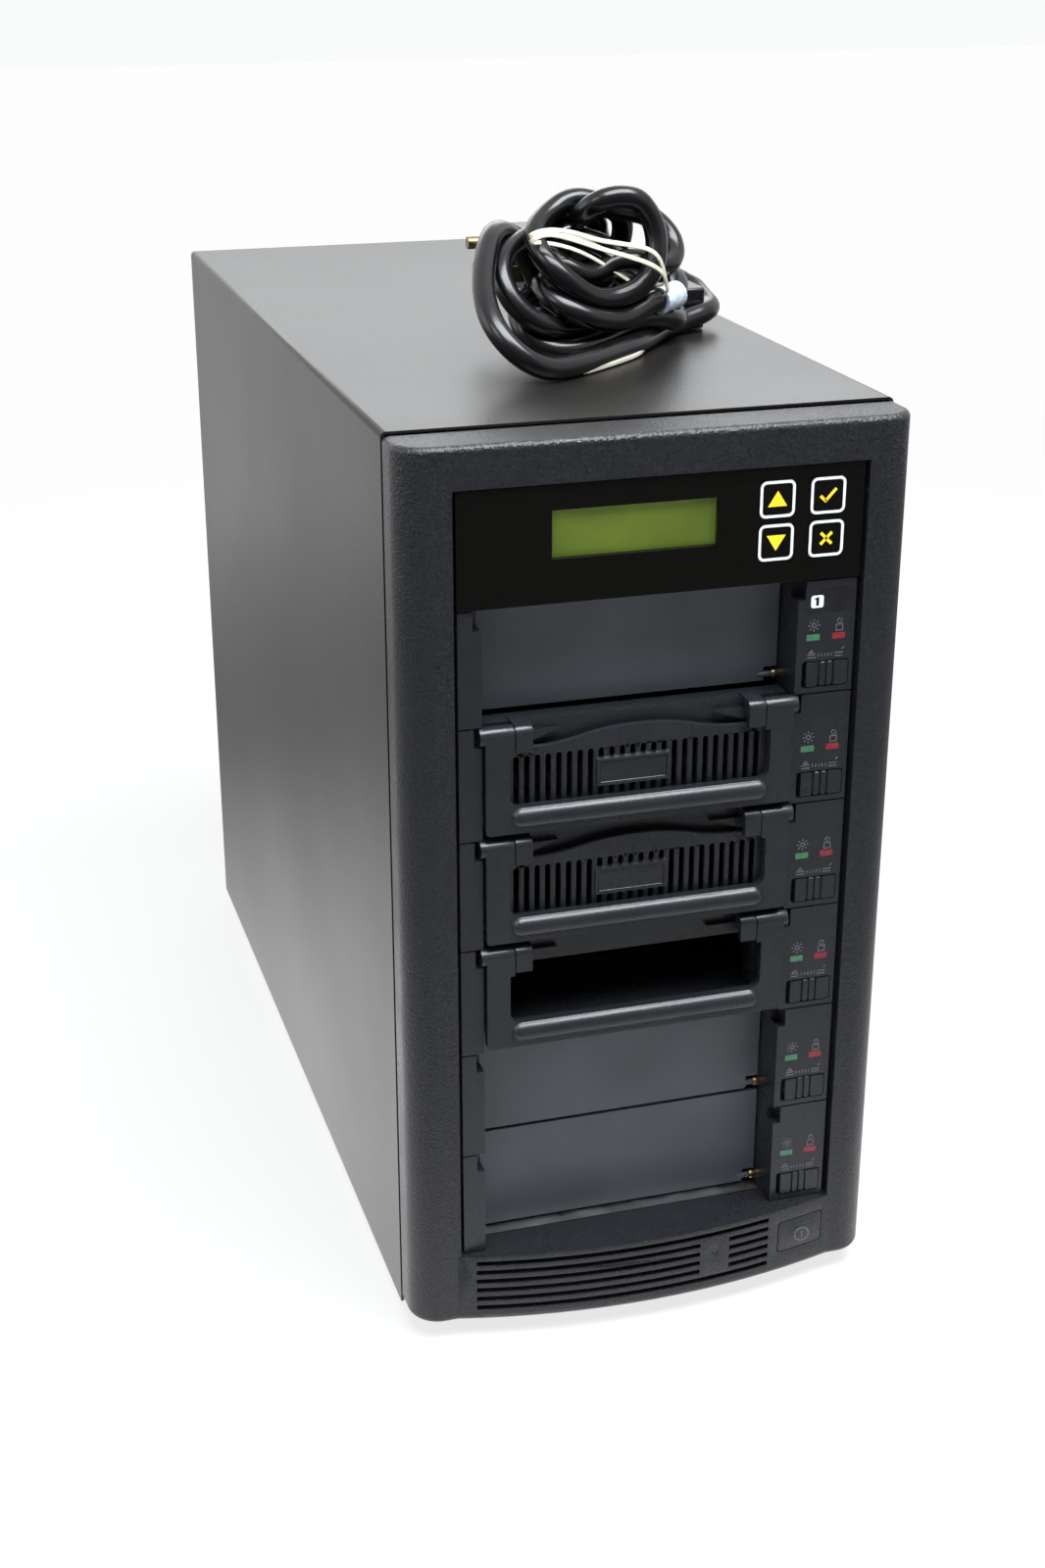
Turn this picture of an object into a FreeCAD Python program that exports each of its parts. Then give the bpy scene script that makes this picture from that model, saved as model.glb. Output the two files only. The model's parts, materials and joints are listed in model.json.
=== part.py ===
"""A seven-bay hard drive duplicator tower: a steel case with a moulded bezel, a control panel
in the top bay and six removable-drive racks below it.

All sizes are in millimetres and live in the spreadsheet "Sizes". +Z is up, the bezel faces -Y,
and the origin is on the floor under the middle of the case. The front pieces are drawn from the
bezel's front plane, bay pieces from the floor of their bay, and rear pieces from the case's back.
"""

import FreeCAD
import Part
import math
import os
import Sketcher

SIZES = {
    # Case
    "case_width": 188.0,
    "case_height": 346.5,
    "case_depth": 401.0,
    "steel": 1.0,
    "panel_gap": 0.2,
    "cover_bend": 2.0,
    "cover_flange": 12.0,
    "pan_flange": 15.0,
    "foot_height": 5.0,
    "foot_radius": 11.0,
    "foot_inset": 30.0,
    "rear_out": 6.0,
    # Bays
    "bay_pitch": 42.7,
    "bay_count": 7.0,
    "bay_base": 31.5,
    "opening_width": 151.0,
    "device_width": 146.0,
    "device_gap": 0.3,
    # Bezel
    "bezel_depth": 23.0,
    "bezel_corner": 12.0,
    "bezel_edge": 2.5,
    "bezel_top_drop": 1.0,
    "bezel_bottom_rise": 2.5,
    "bezel_wall": 3.0,
    "bezel_front_wall": 3.0,
    "bezel_rim": 1.5,
    "shadow_gap": 2.5,
    "bulge": 10.0,
    "bulge_width": 154.0,
    "bulge_edge": 3.0,
    "sill_depth": 12.0,
    "sill_wall": 1.9,
    "vent_left": -70.0,
    "vent_right": 48.2,
    "vent_height": 2.0,
    "vent_pitch": 3.95,
    "vent_top": 2.0,
    "vent_pad_left": 18.3,
    "vent_pad_right": 30.8,
    "clip_width": 7.0,
    "clip_height": 4.0,
    "clip_reach": 4.0,
    "clip_from_middle": 84.0,
    # Power button and lamp
    "button_middle": 62.9,
    "button_width": 20.0,
    "button_height": 13.2,
    "button_drop": 12.6,
    "button_gap": 0.35,
    "button_travel": 2.0,
    "button_depth": 6.0,
    "button_stem": 3.0,
    "lamp_radius": 1.5,
    "lamp_drop": 11.0,
    "lamp_length": 8.0,
    # Control panel
    "face_width": 148.4,
    "face_height": 41.7,
    "face_recess": 1.0,
    "face_thick": 3.0,
    "window_left": -40.5,
    "window_width": 60.0,
    "window_base": 16.3,
    "window_height": 17.0,
    "window_recess": 1.8,
    "key_size": 13.3,
    "key_corner": 2.4,
    "key_gap": 0.3,
    "key_left": 41.3,
    "key_step_across": 19.0,
    "key_low": 15.5,
    "key_step_up": 15.5,
    "key_travel": 0.5,
    "display_depth": 6.0,
    "board_thick": 1.6,
    "housing_depth": 146.0,
    "housing_wall": 1.2,
    # Racks
    "rack_face": 147.6,
    "rack_recess": 2.0,
    "rack_seam": 0.3,
    "rack_depth": 205.0,
    "rack_floor": 1.5,
    "rack_back": 2.0,
    "mouth_middle": -6.85,
    "mouth_width": 116.9,
    "mouth_depth": 22.0,
    "roof_setback": 32.0,
    "notch_width": 3.0,
    "notch_height": 7.3,
    "notch_depth": 9.0,
    "column_wall": 2.0,
    "rail_width": 2.0,
    "rail_height": 3.0,
    "slot_left": 54.1,
    "slot_width": 18.2,
    "slot_base": 2.3,
    "slot_height": 10.0,
    "slot_depth": 3.5,
    "slider_width": 16.2,
    "slider_height": 9.0,
    "slider_proud": 0.3,
    "lamp_green_left": 55.3,
    "lamp_red_left": 65.2,
    "lamp_width": 5.2,
    "lamp_height": 2.4,
    "lamp_level": 21.3,
    "lamp_depth": 2.5,
    # Shutters
    "shutter_axis_back": 19.0,
    "shutter_axis_up": 3.0,
    "shutter_thick": 1.6,
    "shutter_side_gap": 0.4,
    "shutter_bottom": 0.8,
    "shutter_top": 42.2,
    "shutter_pin": 1.2,
    "pin_clearance": 0.06,
    "spring_room": 5.0,
    "spring_length": 2.4,
    # Trays
    "tray_side_gap": 0.5,
    "tray_base": 5.3,
    "tray_wall": 2.0,
    "tray_height": 36.0,
    "tray_length": 176.0,
    "hood_top": 42.2,
    "hood_bottom": 32.6,
    "hood_front": 8.3,
    "hood_depth": 8.0,
    "window_half": 49.0,
    "grille_front": 4.0,
    "grille_thick": 2.0,
    "grille_half": 52.0,
    "grille_base": 8.0,
    "grille_shoulder": 33.4,
    "grille_peak": 38.0,
    "grille_slot": 1.9,
    "grille_pitch": 3.955,
    "grille_slots": 24.0,
    "grille_low": 10.4,
    "grille_high": 29.9,
    "badge_left": -15.8,
    "badge_width": 27.5,
    "badge_low": 15.6,
    "badge_high": 26.2,
    "badge_proud": 1.2,
    "badge_rim": 1.2,
    "hook_width": 6.2,
    "hook_gap": 0.4,
    "hook_low": 32.9,
    "hook_leg": 3.0,
    "fin_length": 11.5,
    "fin_top": 38.3,
    "fin_low": 34.3,
    "fin_proud": 2.5,
    # Tray handles
    "handle_half": 57.8,
    "handle_arm": 8.8,
    "handle_arm_top": 10.6,
    "handle_step": 31.6,
    "handle_low": 2.5,
    "handle_bar_top": 12.5,
    "handle_front": -0.4,
    "handle_thick": 3.4,
    "handle_swell": 2.6,
    "grip_radius": 4.2,
    "handle_corner": 4.0,
    "barrel_radius": 3.4,
    "barrel_level": 39.3,
    "barrel_half": 59.6,
    "handle_pin": 1.5,
    "handle_pin_reach": 9.0,
    # Power supply, fans, inlet and switch
    "supply_width": 150.0,
    "supply_height": 86.0,
    "supply_depth": 140.0,
    "supply_drop": 10.0,
    "supply_margin": 5.0,
    "supply_fan_left": 28.0,
    "fan_size": 80.0,
    "fan_depth": 25.0,
    "fan_bore": 76.0,
    "fan_hub": 34.0,
    "fan_grip": 2.0,
    "fan_tip_gap": 1.0,
    "fan_hole_pitch": 71.5,
    "fan_corner": 4.0,
    "fan_level": 185.0,
    "guard_wire": 1.6,
    "screw_hole": 2.0,
    "screw_shank": 1.6,
    "screw_head": 3.2,
    "thumb_head": 4.0,
    "inlet_across": 48.0,
    "inlet_up": 18.0,
    "inlet_width": 27.0,
    "inlet_height": 19.6,
    "inlet_flange": 1.6,
    "inlet_depth": 18.0,
    "inlet_lip": 2.5,
    "inlet_wall": 1.3,
    "rocker_up": -16.0,
    "rocker_width": 18.0,
    "rocker_height": 11.6,
    "rocker_gap": 0.4,
    "rocker_wall": 1.5,
    "rocker_depth": 12.0,
    # Boards
    "controller_width": 132.0,
    "controller_length": 118.0,
    "backplane_width": 86.0,
    "backplane_height": 34.0,
    # Mains lead, bundled on the lid
    "lead_diameter": 9.5,
    "hank_across": 26.0,
    "hank_along": -72.0,
    "hank_left": 66.0,
    "hank_right": 66.0,
    "hank_height": 60.0,
    "hank_waist": 46.0,
    "hank_fan": 62.0,
    "plug_across": -4.0,
    "plug_along": -45.0,
    "plug_up": 32.5,
    "plug_width": 24.0,
    "plug_height": 24.0,
    "plug_body": 12.0,
    "blade_length": 16.0,
    "blade_width": 6.3,
    "blade_thick": 1.5,
    "blade_apart": 12.7,
    "earth_length": 20.0,
    "earth_radius": 2.4,
    "earth_rise": 11.9,
    "connector_across": 75.0,
    "connector_along": -36.0,
    "connector_gap": 0.3,
    "connector_grip": 26.0,
}

document = FreeCAD.newDocument("DriveDuplicator")
sub_parts = []


class Size:
    """A length that carries its number together with the sheet expression that gives it."""

    def __init__(self, number, text=None):
        self.number = float(number)
        self.text = text or repr(float(number))

    def join(self, other, sign, number):
        return Size(number, f"({self.text} {sign} {as_size(other).text})")

    def __add__(self, other):
        return self.join(other, "+", self.number + as_size(other).number)

    def __sub__(self, other):
        return self.join(other, "-", self.number - as_size(other).number)

    def __mul__(self, other):
        return self.join(other, "*", self.number * as_size(other).number)

    def __truediv__(self, other):
        return self.join(other, "/", self.number / as_size(other).number)

    def __radd__(self, other):
        return as_size(other) + self

    def __rsub__(self, other):
        return as_size(other) - self

    def __rmul__(self, other):
        return as_size(other) * self

    def __neg__(self):
        return Size(-self.number, f"(0 - {self.text})")


def as_size(value):
    return value if isinstance(value, Size) else Size(value)


class Sheet:
    """The driving dimensions, each readable by its name."""

    def __init__(self, sizes):
        table = document.addObject("Spreadsheet::Sheet", "Sizes")
        for row, (name, number) in enumerate(sizes.items(), 1):
            table.set(f"A{row}", name)
            table.set(f"B{row}", str(number))
            table.setAlias(f"B{row}", name)
            setattr(self, name, Size(number, "Sizes." + name))


s = Sheet(SIZES)
document.recompute()

# Planes and levels that several pieces share
HALF_CASE = s.case_width / 2
FRONT = s.bulge - (s.bulge + s.bezel_depth + s.case_depth + s.rear_out) / 2
CASE_FRONT = FRONT + s.bezel_depth
REAR = CASE_FRONT + s.case_depth
CASE_TOP = s.foot_height + s.case_height
BAY_FLOOR = s.foot_height + s.bay_base
BAY_TOP = BAY_FLOOR + s.bay_pitch * s.bay_count
HALF_OPENING = s.opening_width / 2
HALF_DEVICE = s.device_width / 2
HALF_CAGE = HALF_DEVICE + s.device_gap
MOUTH_LEFT = s.mouth_middle - s.mouth_width / 2
MOUTH_RIGHT = s.mouth_middle + s.mouth_width / 2
INNER_HALF = HALF_CASE - s.steel - s.panel_gap

# The bays from the bottom up, the top one being the control panel's
RACKS = ["target_5", "target_4", "target_3", "target_2", "target_1", "source"]
CLOSED_BAYS = {"target_5": 0, "target_4": 1, "source": 5}
TRAY_BAYS = {"tray_3": 2, "tray_2": 3, "tray_1": 4}
GRILLED_TRAYS = ("tray_1", "tray_2")
PANEL_BAY = 6

# The bundle lies askew on the lid, in degrees from the case's width
HANK_TURN = 33


def bind(thing, name, value):
    """Ties a property of an object to the sheet."""
    thing.setExpression(name, as_size(value).text)


def place(thing, x=0, y=0, z=0):
    """Ties an object's position to the sheet."""
    for axis, value in zip("xyz", (x, y, z)):
        bind(thing, f"Placement.Base.{axis}", value)


def finish(thing, label):
    """Names an object as one of the sub-parts that are written out."""
    thing.Label = label
    sub_parts.append(thing)


def bay_level(bay):
    return BAY_FLOOR + s.bay_pitch * bay


class Via:
    """Makes the run between two corners of an outline an arc through this point."""

    def __init__(self, x, y):
        self.x, self.y = as_size(x), as_size(y)


class Circle:
    def __init__(self, x, y, radius):
        self.x, self.y, self.radius = as_size(x), as_size(y), as_size(radius)

    def draw(self, sketch):
        middle = FreeCAD.Vector(self.x.number, self.y.number, 0)
        up = FreeCAD.Vector(0, 0, 1)
        circle = sketch.addGeometry(Part.Circle(middle, up, self.radius.number), False)
        pin_point(sketch, circle, 3, self.x, self.y)
        constrain(sketch, "Radius", (circle,), self.radius)


class Outline:
    """A closed outline through corners (x, y) or (x, y, radius), with Via points between them."""

    def __init__(self, *corners):
        self.corners, self.via = [], {}
        for corner in corners:
            if isinstance(corner, Via):
                self.via[len(self.corners) - 1] = corner
            else:
                self.corners.append([as_size(value) for value in corner])

    def points(self, index):
        """The end of the last run, the start of the next one and the rounding at a corner."""
        count = len(self.corners)
        here, before, after = (
            FreeCAD.Vector(self.corners[i % count][0].number, self.corners[i % count][1].number, 0)
            for i in (index, index - 1, index + 1)
        )
        if len(self.corners[index]) == 2:
            return here, here, None
        radius = self.corners[index][2].number
        back, ahead = (before - here).normalize(), (after - here).normalize()
        half = back.getAngle(ahead) / 2
        reach = radius / math.tan(half)
        middle = here + (back + ahead).normalize() * (radius / math.sin(half))
        return here + back * reach, here + ahead * reach, (middle, radius)

    def draw(self, sketch):
        up = FreeCAD.Vector(0, 0, 1)
        count = len(self.corners)
        ends = [self.points(index) for index in range(count)]
        runs = []
        for index in range(count):
            start, end = ends[index][1], ends[(index + 1) % count][0]
            if index in self.via:
                through = self.via[index]
                middle = FreeCAD.Vector(through.x.number, through.y.number, 0)
                piece = sketch.addGeometry(Part.Arc(start, middle, end), False)
                at_start = sketch.getPoint(piece, 1).distanceToPoint(start) < 1e-6
                runs.append((piece, 1 if at_start else 2, 2 if at_start else 1))
                point = sketch.addGeometry(Part.Point(middle), True)
                pin_point(sketch, point, 1, through.x, through.y)
                sketch.addConstraint(Sketcher.Constraint("PointOnObject", point, 1, piece))
            else:
                piece = sketch.addGeometry(Part.LineSegment(start, end), False)
                runs.append((piece, 1, 2))
        for index in range(count):
            x, y = self.corners[index][:2]
            last, this = runs[index - 1], runs[index]
            rounding = ends[index][2]
            if rounding is None:
                sketch.addConstraint(Sketcher.Constraint("Coincident", last[0], last[2], this[0], this[1]))
                pin_point(sketch, this[0], this[1], x, y)
                continue
            middle, radius = rounding
            before, after = ends[index][0] - middle, ends[index][1] - middle
            left_turn = before.cross(after).z > 0
            first, second = (before, after) if left_turn else (after, before)
            angles = [math.atan2(v.y, v.x) for v in (first, second)]
            arc = Part.ArcOfCircle(Part.Circle(middle, up, radius), *angles)
            piece = sketch.addGeometry(arc, False)
            enter, leave = (1, 2) if left_turn else (2, 1)
            corner = sketch.addGeometry(Part.Point(FreeCAD.Vector(x.number, y.number, 0)), True)
            sketch.addConstraint(Sketcher.Constraint("Tangent", last[0], last[2], piece, enter))
            sketch.addConstraint(Sketcher.Constraint("Tangent", piece, leave, this[0], this[1]))
            constrain(sketch, "Radius", (piece,), self.corners[index][2])
            sketch.addConstraint(Sketcher.Constraint("PointOnObject", corner, 1, last[0]))
            sketch.addConstraint(Sketcher.Constraint("PointOnObject", corner, 1, this[0]))
            pin_point(sketch, corner, 1, x, y)


def constrain(sketch, kind, elements, value):
    """Adds a dimension to a sketch and ties it to the sheet."""
    index = sketch.addConstraint(Sketcher.Constraint(kind, *elements, value.number))
    bind(sketch, f"Constraints[{index}]", value)


def pin_point(sketch, element, point, x, y):
    constrain(sketch, "DistanceX", (-1, 1, element, point), x)
    constrain(sketch, "DistanceY", (-1, 1, element, point), y)


def rectangle(left, right, low, high, radius=None):
    corners = [(left, low), (right, low), (right, high), (left, high)]
    return Outline(*[corner if radius is None else (*corner, radius) for corner in corners])


class Piece:
    """A PartDesign body built from sketches on its own origin planes."""

    def __init__(self, label, x=0, y=0, z=0, turned=0, grouped=False):
        self.body = document.addObject("PartDesign::Body", label)
        self.body.Placement.Rotation = FreeCAD.Rotation(FreeCAD.Vector(0, 0, 1), turned)
        place(self.body, x, y, z)
        if not grouped:
            finish(self.body, label)

    def origin(self, role):
        return next(item for item in self.body.Origin.OriginFeatures if item.Role == role)

    def sketch(self, plane, level, outlines, lift=0):
        sketch = self.body.newObject("Sketcher::SketchObject", "Profile")
        sketch.AttachmentSupport = [(self.origin(plane + "_Plane"), "")]
        sketch.MapMode = "FlatFace"
        bind(sketch, "AttachmentOffset.Base.z", -as_size(level) if plane == "XZ" else level)
        bind(sketch, "AttachmentOffset.Base.y", lift)
        for outline in outlines:
            outline.draw(sketch)
        return sketch

    def extrude(self, kind, plane, low, high, outlines, towards_normal):
        sketch = self.sketch(plane, low, outlines)
        feature = self.body.newObject("PartDesign::" + kind, kind)
        feature.Profile = sketch
        bind(feature, "Length", as_size(high) - low)
        feature.Reversed = towards_normal == (plane == "XZ")
        self.body.Tip = feature
        sketch.Visibility = False
        return feature

    def add(self, plane, low, high, *outlines):
        """Adds material between two levels along the plane's axis."""
        return self.extrude("Pad", plane, low, high, outlines, True)

    def cut(self, plane, low, high, *outlines):
        """Takes material away between two levels along the plane's axis."""
        return self.extrude("Pocket", plane, low, high, outlines, False)

    def loft(self, plane, *stations):
        """Adds a body with straight sides through outlines at (level, outline) stations."""
        sketches = [self.sketch(plane, level, [outline]) for level, outline in stations]
        feature = self.body.newObject("PartDesign::AdditiveLoft", "Loft")
        feature.Profile = sketches[0]
        feature.Sections = sketches[1:]
        feature.Ruled = True
        self.body.Tip = feature
        return feature

    def revolve(self, plane, level, lift, outline):
        """Adds a body turned about the sketch's H_Axis, which lies at this level and lift."""
        sketch = self.sketch(plane, level, [outline], lift)
        feature = self.body.newObject("PartDesign::Revolution", "Revolve")
        feature.Profile = sketch
        feature.ReferenceAxis = (sketch, ["H_Axis"])
        feature.Angle = 360
        self.body.Tip = feature
        sketch.Visibility = False
        return feature

    def repeat(self, feature, direction, length, count):
        """Repeats a feature in a row along its sketch's H_Axis or V_Axis."""
        pattern = self.body.newObject("PartDesign::LinearPattern", "Row")
        pattern.Originals = [feature]
        pattern.Direction = (feature.Profile[0], [direction])
        bind(pattern, "Length", length)
        bind(pattern, "Occurrences", count)
        self.body.Tip = pattern
        return pattern

    def turn(self, feature, axis, count):
        """Repeats a feature round one of the body's axes."""
        pattern = self.body.newObject("PartDesign::PolarPattern", "Ring")
        pattern.Originals = [feature]
        pattern.Axis = (self.origin(axis + "_Axis"), [""])
        pattern.Angle = 360
        pattern.Occurrences = count
        self.body.Tip = pattern
        return pattern

    def round(self, radius, chosen, kind="Fillet"):
        """Rounds the edges of the last feature that the function chooses by their boxes."""
        document.recompute()
        tip = self.body.Tip
        edges = [
            f"Edge{number}"
            for number, edge in enumerate(tip.Shape.Edges, 1)
            if chosen(edge.BoundBox)
        ]
        feature = self.body.newObject("PartDesign::" + kind, kind)
        feature.Base = (tip, edges)
        bind(feature, "Radius" if kind == "Fillet" else "Size", radius)
        self.body.Tip = feature
        return feature


def near(value, target):
    return abs(value - as_size(target).number) < 0.01


def block(x0, x1, y0, y1, z0, z1):
    """A box between two positions on each axis."""
    box = document.addObject("Part::Box", "Block")
    for prop, low, high in (("Length", x0, x1), ("Width", y0, y1), ("Height", z0, z1)):
        bind(box, prop, as_size(high) - low)
    place(box, x0, y0, z0)
    return box


AIM = {
    "X": FreeCAD.Rotation(FreeCAD.Vector(0, 1, 0), 90),
    "Y": FreeCAD.Rotation(FreeCAD.Vector(1, 0, 0), -90),
    "Z": FreeCAD.Rotation(),
}


def rod(axis, radius, length, x, y, z, top_radius=None):
    """A cylinder, or a cone with its second radius, from a point along an axis."""
    item = document.addObject("Part::Cone" if top_radius is not None else "Part::Cylinder", "Rod")
    if top_radius is None:
        bind(item, "Radius", radius)
    else:
        bind(item, "Radius1", radius)
        bind(item, "Radius2", top_radius)
    bind(item, "Height", length)
    item.Placement = FreeCAD.Placement(FreeCAD.Vector(), AIM[axis])
    place(item, x, y, z)
    return item


def ring(axis, radius, wire, x, y, z):
    """A flat ring of square wire."""
    half = wire / 2
    return subtract(rod(axis, radius + half, wire, x, y, z), rod(axis, radius - half, wire, x, y, z))


def fuse(items):
    joined = document.addObject("Part::MultiFuse", "Joined")
    joined.Shapes = items
    joined.Refine = True
    return joined


def subtract(base, tool):
    result = document.addObject("Part::Cut", "Hollowed")
    result.Base = base
    result.Tool = tool
    return result


def group(label, items, x=0, y=0, z=0):
    """Separate solids that share one node."""
    together = document.addObject("Part::Compound", label)
    together.Links = items
    place(together, x, y, z)
    finish(together, label)
    return together


# Case

def cover_shell():
    """The folded steel cover: lid and both sides in one sheet, with a flange round the back."""
    cover = Piece("cover_shell", 0, REAR, 0)
    outer, top = HALF_CASE, CASE_TOP
    inner, under = outer - s.steel, top - s.steel
    bend = s.cover_bend
    inner_bend = bend - s.steel / 2
    cover.add("XZ", -s.case_depth, 0, Outline(
        (-outer, s.foot_height), (-outer, top, bend), (outer, top, bend), (outer, s.foot_height),
        (inner, s.foot_height), (inner, under, inner_bend), (-inner, under, inner_bend),
        (-inner, s.foot_height)))
    lip, drop = inner - s.cover_flange, under - s.cover_flange
    cover.add("XZ", -s.steel, 0, Outline(
        (-inner - s.steel / 2, s.foot_height), (-inner - s.steel / 2, under - inner_bend),
        (-inner + inner_bend, under + s.steel / 2), (inner - inner_bend, under + s.steel / 2),
        (inner + s.steel / 2, under - inner_bend), (inner + s.steel / 2, s.foot_height),
        (lip, s.foot_height), (lip, drop), (-lip, drop), (-lip, s.foot_height)))
    holes = [Circle(x, z, s.screw_hole) for x, z in cover_screw_spots()]
    cover.cut("XZ", -s.steel, 0, *holes)


def cover_screw_spots():
    across = HALF_CASE - s.steel - s.cover_flange / 2
    low, high = s.foot_height + s.bay_pitch, CASE_TOP - s.bay_pitch
    levels = (low, (low + high) / 2, high)
    return [(side * across, level) for side in (-1, 1) for level in levels]


def supply_top():
    return CASE_TOP - s.steel - s.supply_drop


def supply_middle():
    return supply_top() - s.supply_height / 2


def clip_levels():
    return [bay_level(bay) for bay in (0.5, 3.5, 6.5)]


def chassis():
    """The inner chassis: floor pan with side flanges, front panel and rear panel."""
    body = Piece("chassis", 0, REAR, 0)
    half, floor = INNER_HALF, s.foot_height
    pan_top, flange = floor + s.steel, floor + s.pan_flange
    inside = half - s.steel
    body.add("XZ", -s.case_depth, -s.steel, Outline(
        (-half, floor), (half, floor), (half, flange), (inside, flange), (inside, pan_top),
        (-inside, pan_top), (-inside, flange), (-half, flange)))
    lid = CASE_TOP - s.steel * 2
    supply_half = s.supply_width / 2 - s.supply_margin
    vent = s.case_width / 5
    body.add("XZ", -s.steel * 2, -s.steel,
             rectangle(-half, half, floor, lid),
             rectangle(-supply_half, supply_half, supply_middle() - s.supply_height / 2 + s.supply_margin,
                       supply_top() - s.supply_margin),
             Circle(0, s.fan_level, s.fan_bore / 2 - s.fan_grip))
    holes = [Circle(x, z, s.screw_shank) for x, z in cover_screw_spots() + fan_screw_spots()
             + supply_screw_spots()]
    body.cut("XZ", -s.steel * 2, -s.steel, *holes)
    slot = body.cut("XZ", -s.steel * 2, -s.steel,
                    rectangle(-vent, vent, floor + s.bay_pitch, floor + s.bay_pitch + s.vent_pitch))
    body.repeat(slot, "V_Axis", s.vent_pitch * 10, 6)
    clips = [rectangle(side * s.clip_from_middle - s.clip_width / 2 - s.panel_gap,
                       side * s.clip_from_middle + s.clip_width / 2 + s.panel_gap,
                       level - s.clip_height / 2 - s.panel_gap,
                       level + s.clip_height / 2 + s.panel_gap)
             for side in (-1, 1) for level in clip_levels()]
    body.add("XZ", -s.case_depth, s.steel - s.case_depth,
             rectangle(-half, half, floor, lid),
             rectangle(-HALF_OPENING, HALF_OPENING, BAY_FLOOR - s.steel - s.panel_gap * 2, BAY_TOP),
             *clips)


def drive_cage():
    """The bright cage that carries the racks: two side plates, a roof and a floor plate."""
    cage = Piece("drive_cage", 0, CASE_FRONT + s.steel, 0)
    inner = HALF_CAGE
    outer = inner + s.steel
    pan, roof = s.foot_height + s.steel, BAY_TOP + s.sill_depth / 2
    depth = s.rack_depth - s.mouth_depth
    cage.add("XZ", 0, depth, Outline(
        (-outer, pan), (-outer, roof), (outer, roof), (outer, pan), (inner, pan),
        (inner, roof - s.steel), (-inner, roof - s.steel), (-inner, pan)))
    wing = s.clip_from_middle - s.clip_width
    cage.add("XZ", 0, s.steel,
             rectangle(-wing, -inner, s.foot_height + s.pan_flange, roof),
             rectangle(inner, wing, s.foot_height + s.pan_flange, roof))
    floor = BAY_FLOOR - s.device_gap
    cage.add("XZ", s.sill_depth - s.bezel_depth, depth,
             rectangle(-inner, inner, floor - s.steel, floor))
    side_hole, reach = s.bay_pitch / 4, s.sill_depth
    low, high = BAY_FLOOR + side_hole, BAY_FLOOR + side_hole * 2
    row = cage.cut("YZ", -outer, outer,
                   rectangle(reach, reach * 2, low, high),
                   rectangle(depth - reach * 2, depth - reach, low, high))
    cage.repeat(row, "V_Axis", s.bay_pitch * (s.bay_count - 1), s.bay_count)


def bezel_plan(back):
    """The bezel's lower plan: the bulge that swells forward in an arc, cut off at a depth."""
    half = s.bulge_width / 2
    return Outline((-half, back), (-half, 0), Via(0, -s.bulge), (half, 0), (half, back))


def front_bezel():
    """The moulded bezel: a hollow frame with a bowed lower front, vents and snap clips."""
    bezel = Piece("front_bezel", 0, FRONT, 0)
    half, depth, wall = HALF_CASE, s.bezel_depth, s.bezel_wall
    low, high = s.foot_height + s.bezel_bottom_rise, CASE_TOP - s.bezel_top_drop
    swell = s.bulge_width / 2
    bezel.add("XY", low, BAY_FLOOR, Outline(
        (-half, depth), (-half, 0, s.bezel_corner), (-swell, 0), Via(0, -s.bulge), (swell, 0),
        (half, 0, s.bezel_corner), (half, depth)))
    bezel.add("XY", BAY_FLOOR, high, Outline(
        (-half, depth), (-half, 0, s.bezel_corner), (half, 0, s.bezel_corner), (half, depth)))
    for level, radius in ((low, s.bulge_edge), (high, s.bezel_edge)):
        bezel.round(radius, lambda box, at=level: near(box.ZMin, at) and near(box.ZMax, at)
                    and box.YMin < depth.number - 0.1)
    opening = HALF_OPENING
    bezel.cut("XZ", -s.bulge, depth, rectangle(-opening, opening, BAY_FLOOR, BAY_TOP))
    under = BAY_FLOOR - s.sill_wall
    bezel.cut("XZ", s.sill_depth, depth, rectangle(-opening, opening, under - s.steel, BAY_FLOOR))
    inner, front = opening + wall, s.bezel_front_wall
    corner = s.bezel_corner - wall
    for side in (-1, 1):
        bezel.cut("XY", low + wall, high - wall, Outline(
            (side * inner, depth), (side * inner, front), (side * (half - wall), front, corner),
            (side * (half - wall), depth)))
    bezel.cut("XY", BAY_TOP + wall / 2, high - wall, rectangle(-inner, inner, front, depth))
    bowl = s.bulge_width / 2 - wall
    bezel.cut("XY", low + wall, under, Outline(
        (-inner, depth), (-inner, front), (-bowl, front), Via(0, wall - s.bulge), (bowl, front),
        (inner, front), (inner, depth)))
    rim = s.bezel_rim
    bezel.cut("XZ", depth - s.shadow_gap, depth,
              rectangle(-half - wall, half + wall, low - wall, high + wall),
              rectangle(rim - half, half - rim, low + rim, high - rim))
    vents(bezel)
    cut_front(bezel, rectangle(
        s.button_middle - s.button_width / 2 - s.button_gap,
        s.button_middle + s.button_width / 2 + s.button_gap,
        button_level() - s.button_height / 2 - s.button_gap,
        button_level() + s.button_height / 2 + s.button_gap, s.bezel_wall / 2))
    cut_front(bezel, Circle(lamp_middle(), lamp_level(), s.lamp_radius))
    bezel.add("XZ", front / 2, depth + s.clip_reach, *[
        rectangle(side * s.clip_from_middle - s.clip_width / 2,
                  side * s.clip_from_middle + s.clip_width / 2,
                  level - s.clip_height / 2, level + s.clip_height / 2)
        for side in (-1, 1) for level in clip_levels()])


def cut_front(bezel, *outlines):
    """Cuts through the bowed wall of the lower front."""
    return bezel.cut("XZ", -s.bulge - s.lamp_radius, s.bezel_front_wall + s.lamp_radius, *outlines)


def button_level():
    return BAY_FLOOR - s.button_drop


def lamp_middle():
    return (s.vent_pad_left + s.vent_pad_right) / 2


def lamp_level():
    return BAY_FLOOR - s.lamp_drop


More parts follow.
